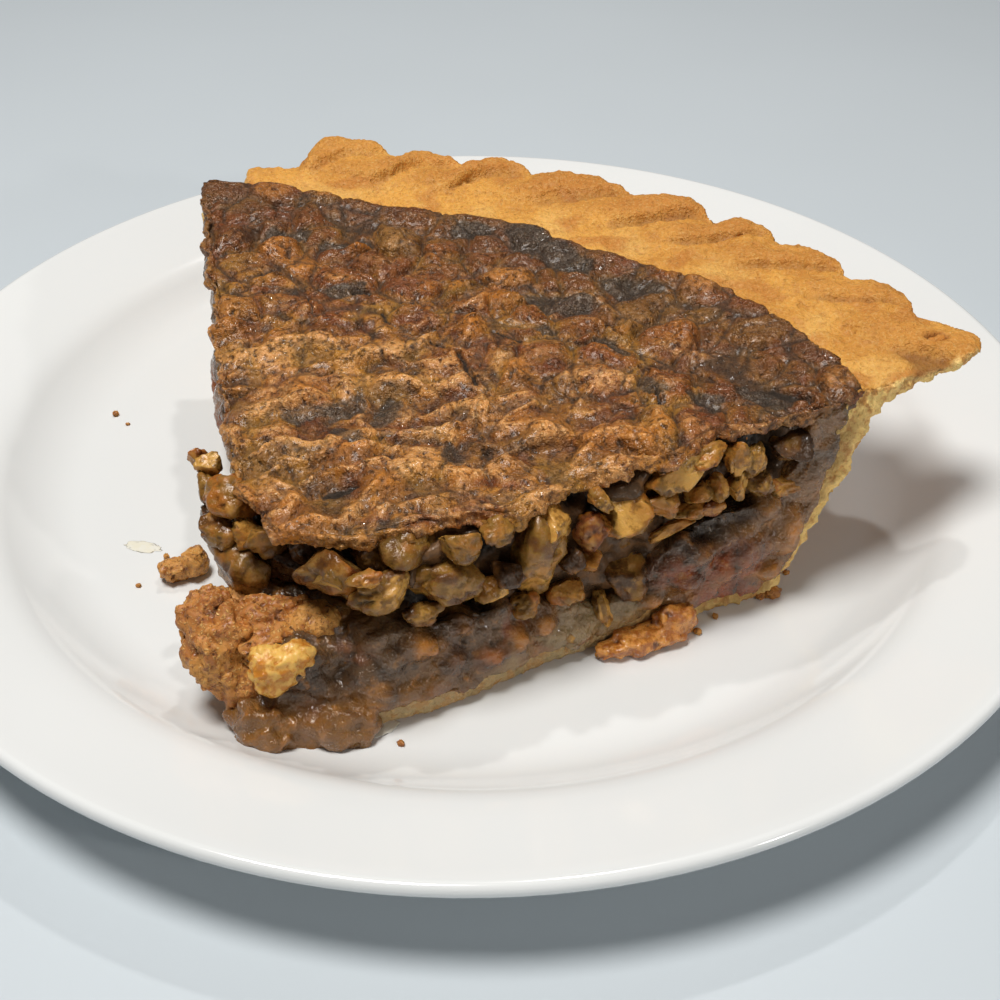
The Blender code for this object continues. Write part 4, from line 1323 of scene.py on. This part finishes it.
def top_relief(point, lump):
    """How far the skin stands out at a point of the plan, and its masks."""
    radius, angle = polar(point)
    calm = smooth(rim_edge_radius(angle) - radius, 0.0, 7.0)
    back = smooth(radius, 58.0, 84.0)
    plan, spot = warped(point, 2.6, 6.5, 30.0), warped(point, 0.5, 1.6, 33.0)
    tint = lump_tint(plan, NUT_WIDTH, 3.0)
    nut = domes(plan, NUT_WIDTH, 3.0) * (0.50 + 0.80 * (7.0 * tint % 1.0))
    small = domes(plan, SMALL_WIDTH, 4.0)
    beads = lumps(plan, 2.3, 5.0)
    folded = wrinkles(plan) * (1.0 - 0.55 * smooth(radius, 60.0, 85.0))
    ridge = max(streak(plan, *spec) for spec in RIDGES)
    bump = max(streak(plan, x, y, 1.25 * half) for x, y, half in AMBER_BUMPS)
    slate = max(streak(plan, *spec) for spec in SLATE_PATCHES)
    slate = smooth(slate + 0.30 * grit(point, 3.0, 32.0), 0.25, 0.60)
    seam = smooth(abs(lumps(plan, 6.0, 36.0)), 0.075, 0.0) * smooth(lumps(point, 9.0, 37.0), -0.2, 0.2)
    split = max(smooth(streak(spot, x, y, 1.3 * half, length, turn), 0.25, 0.80)
                for x, y, length, turn, half in CRACKS)
    pit = smooth(-grit(point, 2.6, 11.0), 0.66, 0.80) * calm
    depth = lump * (mix(0.6, 1.2, back) * nut + 1.0 * bump - 0.6) * mix(0.4, 1.0, calm)
    depth += calm * (mix(0.85, 0.15, back) * folded + mix(1.1, 0.6, back) * ridge
                     + mix(0.35, 0.6, back) * small - 0.6)
    depth += 0.5 * (1.0 - calm) + 0.24 * beads + 0.14 * grit(point, 1.5, 35.0)
    depth = max(depth - 0.25 * slate - 0.5 * seam - 0.6 * pit - 1.4 * split, DEEPEST_DENT)
    # high: the raised folds, ridges and bumps, and the ragged cut edges, which the finish makes lighter
    high = smooth(folded + 0.8 * ridge + 0.6 * nut + 0.5 * (0.5 + beads), 0.7, 2.0)
    amber = max(bump, 0.75 * smooth(nut, 0.60, 0.95) * smooth(lumps(point, 14.0, 12.0), -0.25, 0.35))
    rimward = smooth(radius + 11.0 * lumps(point, 15.0, 13.0), 70.0, 112.0)
    # gap marks where near-black painted shade goes: cracks, pits, seams and the valleys between bumps and
    # folds
    gap = max(0.8 * pit, split, 0.65 * seam, mix(0.15, 0.4, back) * smooth(small, 0.20, 0.0),
              mix(0.50, 0.75, back) * smooth(nut, 0.20, 0.0), 0.40 * (1.0 - back) * smooth(folded, 0.30, 0.0))
    crown = smooth(nut, 0.15, 0.6) * (1.0 - slate) * mix(0.5, 1.0, back)
    return depth, amber * (1.0 - slate), rimward, slate, gap, high * (1.0 - 0.7 * slate), crown, tint


def top_material(settings):
    made, tree, grain = new_material("baked_top", 1.4)
    where = object_space(tree)
    cloud, crumb, fine = grain["Cloud"], grain["Crumb"], grain["Fine"]
    crackle = pattern(tree, crackle_group, where, 0.72)
    crests, gaps = crackle["Crests"], crackle["Gaps"]
    rimward, high = mask(tree, "rimward"), mask(tree, "high")
    stain = cloudy(tree, where, 310.0, 4.0, 0.65, 0.6)["Fac"]
    patch = cloudy(tree, where, 125.0, 2.0, 0.5, 0.5)["Fac"]
    colour = palette(tree, span(tree, stain, 0.32, 0.68), srgb(0.24, 0.15, 0.09), srgb(0.41, 0.26, 0.13),
                     settings.brown, srgb(0.64, 0.41, 0.155), srgb(0.75, 0.50, 0.20))
    lump = palette(tree, mask(tree, "tint"), srgb(0.50, 0.25, 0.12), srgb(0.38, 0.23, 0.13),
                   srgb(0.70, 0.48, 0.17), srgb(0.55, 0.30, 0.14), srgb(0.50, 0.38, 0.16),
                   srgb(0.76, 0.50, 0.24))
    warm = masked(tree, "amber", span(tree, crumb, 0.28, 0.58, 0.5, 1.0))
    colour = layered(
        tree, colour,
        (span(tree, patch, 0.50, 0.62, 0.0, 0.55), srgb(0.74, 0.53, 0.19)),
        (span(tree, patch, 0.47, 0.37, 0.0, 0.60), srgb(0.50, 0.25, 0.12)),
        (masked(tree, "crown", span(tree, crumb, 0.3, 0.6, 0.45, 0.8)), lump),
        (times(tree, rimward, 0.75), settings.dark),
        (times(tree, warm, span(tree, rimward, 0.0, 1.0, 1.0, 0.65)), settings.amber),
        (times(tree, span(tree, cloud, 0.55, 0.66), span(tree, rimward, 0.0, 0.8, 0.25, 0.6)),
         srgb(0.48, 0.25, 0.13)),
        (masked(tree, "slate", 0.85), settings.slate),
        # lighter on the raised parts: partly painted highlight, partly the paler colour of crests and ragged
        # cut edges
        (times(tree, high, span(tree, rimward, 0.0, 1.0, 0.9, 0.35), span(tree, crumb, 0.34, 0.60, 0.0, 0.9)),
         srgb(0.92, 0.66, 0.39)),
        # painted shade in the crackle's gaps, and small painted highlights on its crests
        (times(tree, gaps, 0.6), srgb(0.22, 0.11, 0.04)),
        (times(tree, crests, span(tree, high, 0.0, 1.0, 0.15, 0.95), span(tree, rimward, 0.0, 1.0, 1.0, 0.6)),
         srgb(1.0, 0.79, 0.54)),
        (span(tree, crumb, 0.45, 0.32, 0.0, 0.65), srgb(0.18, 0.10, 0.05)),
        # painted shade: near black in the cracks, pits, seams and valleys
        (mask(tree, "gap"), srgb(0.08, 0.045, 0.025)))
    rough = summed(tree, (span(tree, mask(tree, "crown"), 0.0, 1.0, 0.33, 0.16), 1.0),
                   (span(tree, mask(tree, "gap"), 0.0, 1.0, 0.0, 0.4), 1.0))
    set_surface(tree, colour, rough, 0.62, (1.0, 0.80, 0.64), (0.12, 0.07),
                (0.10, (0.0018, 0.0009, 0.0004)))
    set_bump(tree, summed(tree, (crumb, 1.0), (fine, 0.5), (crests, 0.5), (gaps, -0.3)), 0.42, 1.0)
    return made


class PIE_OT_baked_top(bpy.types.Operator):
    """Shapes the lumpy, crackled skin of the filling"""
    bl_idname = "pie.baked_top"
    bl_label = "Baked top"

    def execute(self, context):
        settings = context.scene.pie_top
        lump = settings.lump / MM
        bm = netted(block(TOP_CUTS, top_shape), TOP_NET, top_unseen)

        def surface(point, normal):
            if top_unseen(point):
                return (0.0,) * (1 + len(TOP_MASKS))
            depth, amber, rimward, slate, gap, high, crown, tint = top_relief(point, lump)
            side = fade(normal.z, 0.2, 0.7)
            ragged = 0.9 * grit(point, 2.4, 40.0) + 0.7 * lumps(point, 4.0, 41.0)
            high = max(high, 0.8 * side * smooth(lumps(point, 3.0, 42.0), -0.3, 0.3))
            depth = mix(depth, ragged, side)
            return depth, amber, rimward, slate * (1.0 - side), gap * (1.0 - side), high, crown, tint

        emboss(bm, surface, TOP_MASKS)
        keep_inside(bm)
        finish("baked_top_fine", bm, top_material(settings), "baked_top", "top_crust")
        return {"FINISHED"}


# ---------------------------------------------------------------- fallen pieces

# The lumps that each fallen piece has grown together from: x, y, height, half sizes, turn
FALLEN_TIP = ((-38.2, -69.6, 17.0, (6.0, 5.0, 7.8), 25.0), (-41.0, -66.5, 20.6, (4.8, 4.0, 5.0), 30.0),
              (-35.6, -71.8, 12.6, (4.2, 4.0, 5.0), 0.0))
TIP_BRIDGE = ((-32.0, -66.0, 19.6, (6.5, 3.6, 4.2), 15.0), (-24.0, -66.4, 18.6, (4.0, 3.4, 4.6), 40.0),
              (-31.0, -70.5, 18.8, (4.6, 3.8, 3.4), 15.0), (-33.0, -67.0, 20.2, (3.6, 3.2, 3.0), 60.0),
              (-36.6, -61.0, 18.4, (3.6, 3.2, 3.0), 10.0))
FALLEN_WALNUT = ((-28.8, -75.6, 18.2, (4.2, 2.8, 4.0), 24.0), (-26.0, -74.6, 20.4, (3.0, 2.4, 2.2), 40.0),
                 (-30.8, -75.4, 20.0, (2.4, 2.2, 2.4), 0.0))
CARAMEL_FLAKE = ((31.5, -54.2, 5.9, (7.4, 3.0, 1.9), 22.0), (36.4, -51.6, 7.4, (3.8, 2.4, 3.0), 30.0),
                 (25.6, -56.6, 5.3, (3.8, 1.8, 1.3), 20.0))
LEFT_CRUMB = ((-53.6, -38.6, 6.1, (2.6, 2.4, 2.2), 20.0), (-50.2, -37.4, 7.0, (2.5, 2.2, 2.9), 50.0))
# Loose crumbs: x, y, half width
CRUMBS = ((55.0, -41.6, 1.2), (52.8, -42.0, 0.8), (-76.1, 12.7, 0.6), (-72.8, 9.2, 0.35), (-47.5, -43.0, 0.9),
          (-56.5, -33.0, 0.5), (-60.0, -41.0, 0.4), (-50.5, -45.5, 0.4), (-44.0, -51.5, 0.7),
          (40.5, -51.5, 0.6), (58.5, -35.5, 0.5), (44.0, -47.5, 0.5), (-10.0, -78.0, 0.5))
# Thin films of syrup and fat: x, y, half length, half width, turn
SMEARS = ((-61.5, -30.0, 3.4, 1.5, -12.0), (-13.5, -74.6, 3.0, 1.6, 30.0))
FALLEN_ROUGHNESS = 0.30
CRUMB_ROUGHNESS = 0.5
CRUMB_SEED = 50.0
SMEAR_ROUGHNESS = 0.25
SMEAR_SEED = 70.0
SMEAR_THICKNESS = 0.07


def crust_material():
    made, tree, grain = new_material("fallen_crust", 2.0)
    where = object_space(tree)
    cloud, crumb = grain["Cloud"], grain["Crumb"]
    crackle = pattern(tree, crackle_group, where, 0.62)
    colour = layered(
        tree, srgb(0.82, 0.58, 0.28), (span(tree, cloud, 0.36, 0.64), srgb(0.74, 0.46, 0.21)),
        (span(tree, crumb, 0.52, 0.36, 0.0, 0.7), srgb(0.58, 0.31, 0.13)),
        (span(tree, cloud, 0.52, 0.62, 0.0, 0.5), srgb(0.60, 0.38, 0.16)),
        # painted shade in the crackle's gaps, and small painted highlights on its crests
        (times(tree, crackle["Gaps"], 0.6), srgb(0.40, 0.19, 0.08)),
        (times(tree, crackle["Crests"], 0.8), srgb(0.97, 0.78, 0.47)),
        # darker where the pit mask is: painted shade in the dents of the fallen pieces, random darker patches
        # on the loose crumbs
        (mask(tree, "pit"), srgb(0.36, 0.19, 0.08)))
    set_surface(tree, colour, span(tree, crumb, 0.35, 0.65, 0.35, 0.65),
                under=(0.12, (0.0016, 0.0009, 0.0004)))
    set_bump(tree, summed(tree, (crackle["Crests"], 1.0), (crumb, 1.0), (crackle["Gaps"], -0.4)), 0.3, 0.8)
    return made


def caramel_material():
    made, tree, grain = new_material("caramel", 1.8)
    crumb, fine = grain["Crumb"], grain["Fine"]
    colour = layered(
        tree, srgb(0.66, 0.38, 0.14), (span(tree, crumb, 0.38, 0.62), srgb(0.88, 0.60, 0.28)),
        (span(tree, fine, 0.55, 0.72, 0.0, 0.5), srgb(0.84, 0.62, 0.32)),
        # painted shade: darker in the pits
        (mask(tree, "pit"), srgb(0.32, 0.14, 0.05)))
    set_surface(tree, colour, span(tree, crumb, 0.35, 0.65, 0.12, 0.36), coat=(0.3, 0.06),
                under=(0.2, (0.0024, 0.0012, 0.0004)))
    set_bump(tree, summed(tree, (crumb, 1.0), (fine, 1.0)), 0.25, 0.8)
    return made


def smear_material():
    made, tree, grain = new_material("syrup_film", 2.0)
    colour = blend(tree, span(tree, grain["Crumb"], 0.35, 0.65), srgb(0.93, 0.92, 0.875),
                   srgb(0.925, 0.905, 0.83))
    set_surface(tree, colour, 0.2)
    return made


def make_lump(name, specs, net, coarse, made_of, slot, seed, replaced=(), squareness=0.8):
    """One fallen piece: uneven lumps grown together, with pits."""
    bm = bmesh.new()
    for number, spec in enumerate(specs):
        add_lump(bm, spec, FALLEN_ROUGHNESS, seed + number, squareness)
    bm = netted(bm, net)

    def surface(point, normal):
        pit = smooth(-grit(point, 2.2, seed), 0.46, 0.62)
        depth = coarse * (lumps(point, 4.5, seed) + 0.35 * grit(point, 1.8, seed + 5.0) - 0.6 * pit)
        # the finishes darken the pits as painted shade
        return depth, 0.8 * pit

    emboss(bm, surface, ("pit",))
    keep_inside(bm)
    finish(name, bm, made_of, slot, *replaced)


def make_crumbs(made_of):
    """Loose crumbs on the plate, each lying on its surface."""
    bm = bmesh.new()
    for number, (x, y, half) in enumerate(CRUMBS):
        resting = plate_surface(Vector((x, y))) + 0.7 * half
        spec = (x, y, resting, (1.25 * half, half, 0.8 * half), 57.0 * number)
        add_lump(bm, spec, CRUMB_ROUGHNESS, CRUMB_SEED + number, 0.85, 3)
    pit = mask_layer(bm, "pit")
    for vert in bm.verts:
        vert[pit] = 0.2 * smooth(-lumps(vert.co / MM, 0.8, 3.0), 0.1, 0.5)
    keep_inside(bm)
    finish("loose_crumbs", bm, made_of, "fallen_crust")


def make_smears():
    """Thin films left on the glaze."""
    bm = bmesh.new()
    for number, (x, y, half_length, half_width, turn) in enumerate(SMEARS):
        resting = plate_surface(Vector((x, y))) + 0.06
        spec = (x, y, resting, (half_length, half_width, SMEAR_THICKNESS), turn)
        add_lump(bm, spec, SMEAR_ROUGHNESS, SMEAR_SEED + number, 1.0)
    keep_inside(bm)
    finish("syrup_smears", bm, smear_material(), "fallen_crust")


class PIE_OT_fallen(bpy.types.Operator):
    """Shapes the pieces that broke off the slice"""
    bl_idname = "pie.fallen"
    bl_label = "Fallen pieces"

    def execute(self, context):
        crust, caramel = crust_material(), caramel_material()
        make_lump("fallen_tip_fine", FALLEN_TIP, 0.36, 1.0, crust, "fallen_crust", 11.0, ("fallen_tip",))
        make_lump("tip_bridge_fine", TIP_BRIDGE, 0.36, 1.0, crust, "fallen_crust", 16.0)
        make_lump("left_crumb_fine", LEFT_CRUMB, 0.26, 0.6, crust, "fallen_crust", 14.0, ("left_crumb",))
        make_lump("caramel_flake_fine", CARAMEL_FLAKE, 0.30, 0.45, caramel, "caramel", 13.0,
                  ("caramel_flake",), 0.7)
        make_crumbs(crust)
        make_smears()
        pale = walnut_material(context.scene.pie_walnuts, "pale_walnut", 0.8)
        make_lump("fallen_walnut_fine", FALLEN_WALNUT, 0.30, 0.25, pale, "pale_walnut", 18.0,
                  ("fallen_walnut",))
        return {"FINISHED"}


# ---------------------------------------------------------------- stage

PLATE_HALF = 0.115
CAMERA_TILT = math.radians(38.66188)
CAMERA_DISTANCE = 2.42986 * PLATE_HALF
CAMERA_ROLL = math.radians(0.6366)
CAMERA_TARGET = Vector((0.04778, -0.08388, 0.0)) * PLATE_HALF
CAMERA_LENS = 50.0
CAMERA_SENSOR = 36.0
FLOOR_SIZE = 4.0
ROOM_COLOUR = (0.96, 0.98, 1.0, 1.0)
ROOM_STRENGTH = 0.08
# Lamps: name, width, place, what it points at, colour
LAMPS = (
    ("key", 0.30, (-0.17, -0.09, 0.84), (0.0, 0.0, 0.02), (1.0, 0.985, 0.96)),
    ("glint", 0.035, (0.08, 0.36, 0.76), (0.0, 0.0, 0.03), (1.0, 0.97, 0.94)),
    ("fill", 0.40, (0.24, -0.70, 0.26), (0.0, -0.02, 0.02), (0.98, 0.98, 0.98)),
    ("sparkle", 0.035, (0.45, -0.43, 0.31), (0.02, -0.03, 0.02), (1.0, 0.98, 0.95)),
)


def add_lamp(name, strength, size, location, target, colour):
    lamp = bpy.data.lights.new(name, "AREA")
    lamp.energy = strength
    lamp.shape = "DISK"
    lamp.size = size
    lamp.color = colour
    made = bpy.data.objects.new(name, lamp)
    bpy.context.scene.collection.objects.link(made)
    made.location = location
    made.rotation_euler = (Vector(target) - Vector(location)).to_track_quat("-Z", "Y").to_euler()


def add_camera():
    """The camera looks down at the plate from the front, turned slightly about its own axis."""
    camera = bpy.data.cameras.new("view")
    camera.lens = CAMERA_LENS
    camera.sensor_width = CAMERA_SENSOR
    camera.sensor_height = CAMERA_SENSOR
    camera.sensor_fit = "HORIZONTAL"
    made = bpy.data.objects.new("view", camera)
    bpy.context.scene.collection.objects.link(made)
    back = Vector((0.0, -math.cos(CAMERA_TILT), math.sin(CAMERA_TILT)))
    level = Vector((1.0, 0.0, 0.0))
    upright = back.cross(level)
    right = math.cos(CAMERA_ROLL) * level + math.sin(CAMERA_ROLL) * upright
    above = math.cos(CAMERA_ROLL) * upright - math.sin(CAMERA_ROLL) * level
    centre = CAMERA_TARGET + back * CAMERA_DISTANCE
    made.matrix_world = Matrix.Translation(centre) @ Matrix((right, above, back)).transposed().to_4x4()
    bpy.context.scene.camera = made


def floor_material(settings):
    made, tree, grain = new_material("pale_floor", 30.0)
    shade = tuple(channel * 0.97 for channel in settings.floor)
    set_surface(tree, blend(tree, span(tree, grain["Cloud"], 0.3, 0.7), shade, settings.floor), 0.6)
    return made


class PIE_OT_stage(bpy.types.Operator):
    """Sets the floor, the lights and the camera"""
    bl_idname = "pie.stage"
    bl_label = "Stage"

    def execute(self, context):
        settings = context.scene.pie_stage
        bm = bmesh.new()
        bmesh.ops.create_grid(bm, x_segments=1, y_segments=1, size=FLOOR_SIZE)
        mesh = bpy.data.meshes.new("floor")
        bm.to_mesh(mesh)
        bm.free()
        mesh.materials.append(floor_material(settings))
        floor = bpy.data.objects.new("floor", mesh)
        context.scene.collection.objects.link(floor)
        for name, *spec in LAMPS:
            add_lamp(name, getattr(settings, name), *spec)
        world = bpy.data.worlds.new("soft_room")
        world.use_nodes = True
        background = world.node_tree.nodes["Background"]
        background.inputs["Color"].default_value = ROOM_COLOUR
        background.inputs["Strength"].default_value = ROOM_STRENGTH
        context.scene.world = world
        context.scene.view_settings.view_transform = "Standard"
        add_camera()
        return {"FINISHED"}


# ---------------------------------------------------------------- panel and registration

class PIE_PT_panel(bpy.types.Panel):
    """Lists the settings and the steps of the slice"""
    bl_idname = "PIE_PT_panel"
    bl_label = "Walnut Pie Slice"
    bl_space_type = "VIEW_3D"
    bl_region_type = "UI"
    bl_category = "Walnut Pie"

    def draw(self, context):
        for name, settings_class in SETTINGS.items():
            box = self.layout.box()
            settings = getattr(context.scene, name)
            for field in settings_class.__annotations__:
                box.prop(settings, field)
        for operator in OPERATORS:
            self.layout.operator(operator.bl_idname)


SETTINGS = {
    "pie_plate": PlateSettings,
    "pie_pastry": PastrySettings,
    "pie_filling": FillingSettings,
    "pie_walnuts": WalnutSettings,
    "pie_top": TopSettings,
    "pie_stage": StageSettings,
}
OPERATORS = (PIE_OT_stage, PIE_OT_plate, PIE_OT_pastry, PIE_OT_filling, PIE_OT_walnuts, PIE_OT_baked_top,
             PIE_OT_fallen)


def register():
    for settings_class in SETTINGS.values():
        bpy.utils.register_class(settings_class)
    for name, settings_class in SETTINGS.items():
        setattr(bpy.types.Scene, name, bpy.props.PointerProperty(type=settings_class))
    for operator in OPERATORS:
        bpy.utils.register_class(operator)
    bpy.utils.register_class(PIE_PT_panel)


def unregister():
    bpy.utils.unregister_class(PIE_PT_panel)
    for operator in reversed(OPERATORS):
        bpy.utils.unregister_class(operator)
    for name in SETTINGS:
        delattr(bpy.types.Scene, name)
    for settings_class in reversed(SETTINGS.values()):
        bpy.utils.unregister_class(settings_class)


def main():
    register()
    bpy.ops.pie.stage()
    bpy.ops.pie.plate()
    bpy.ops.pie.pastry()
    bpy.ops.pie.filling()
    bpy.ops.pie.walnuts()
    bpy.ops.pie.baked_top()
    bpy.ops.pie.fallen()


if __name__ == "__main__":
    main()
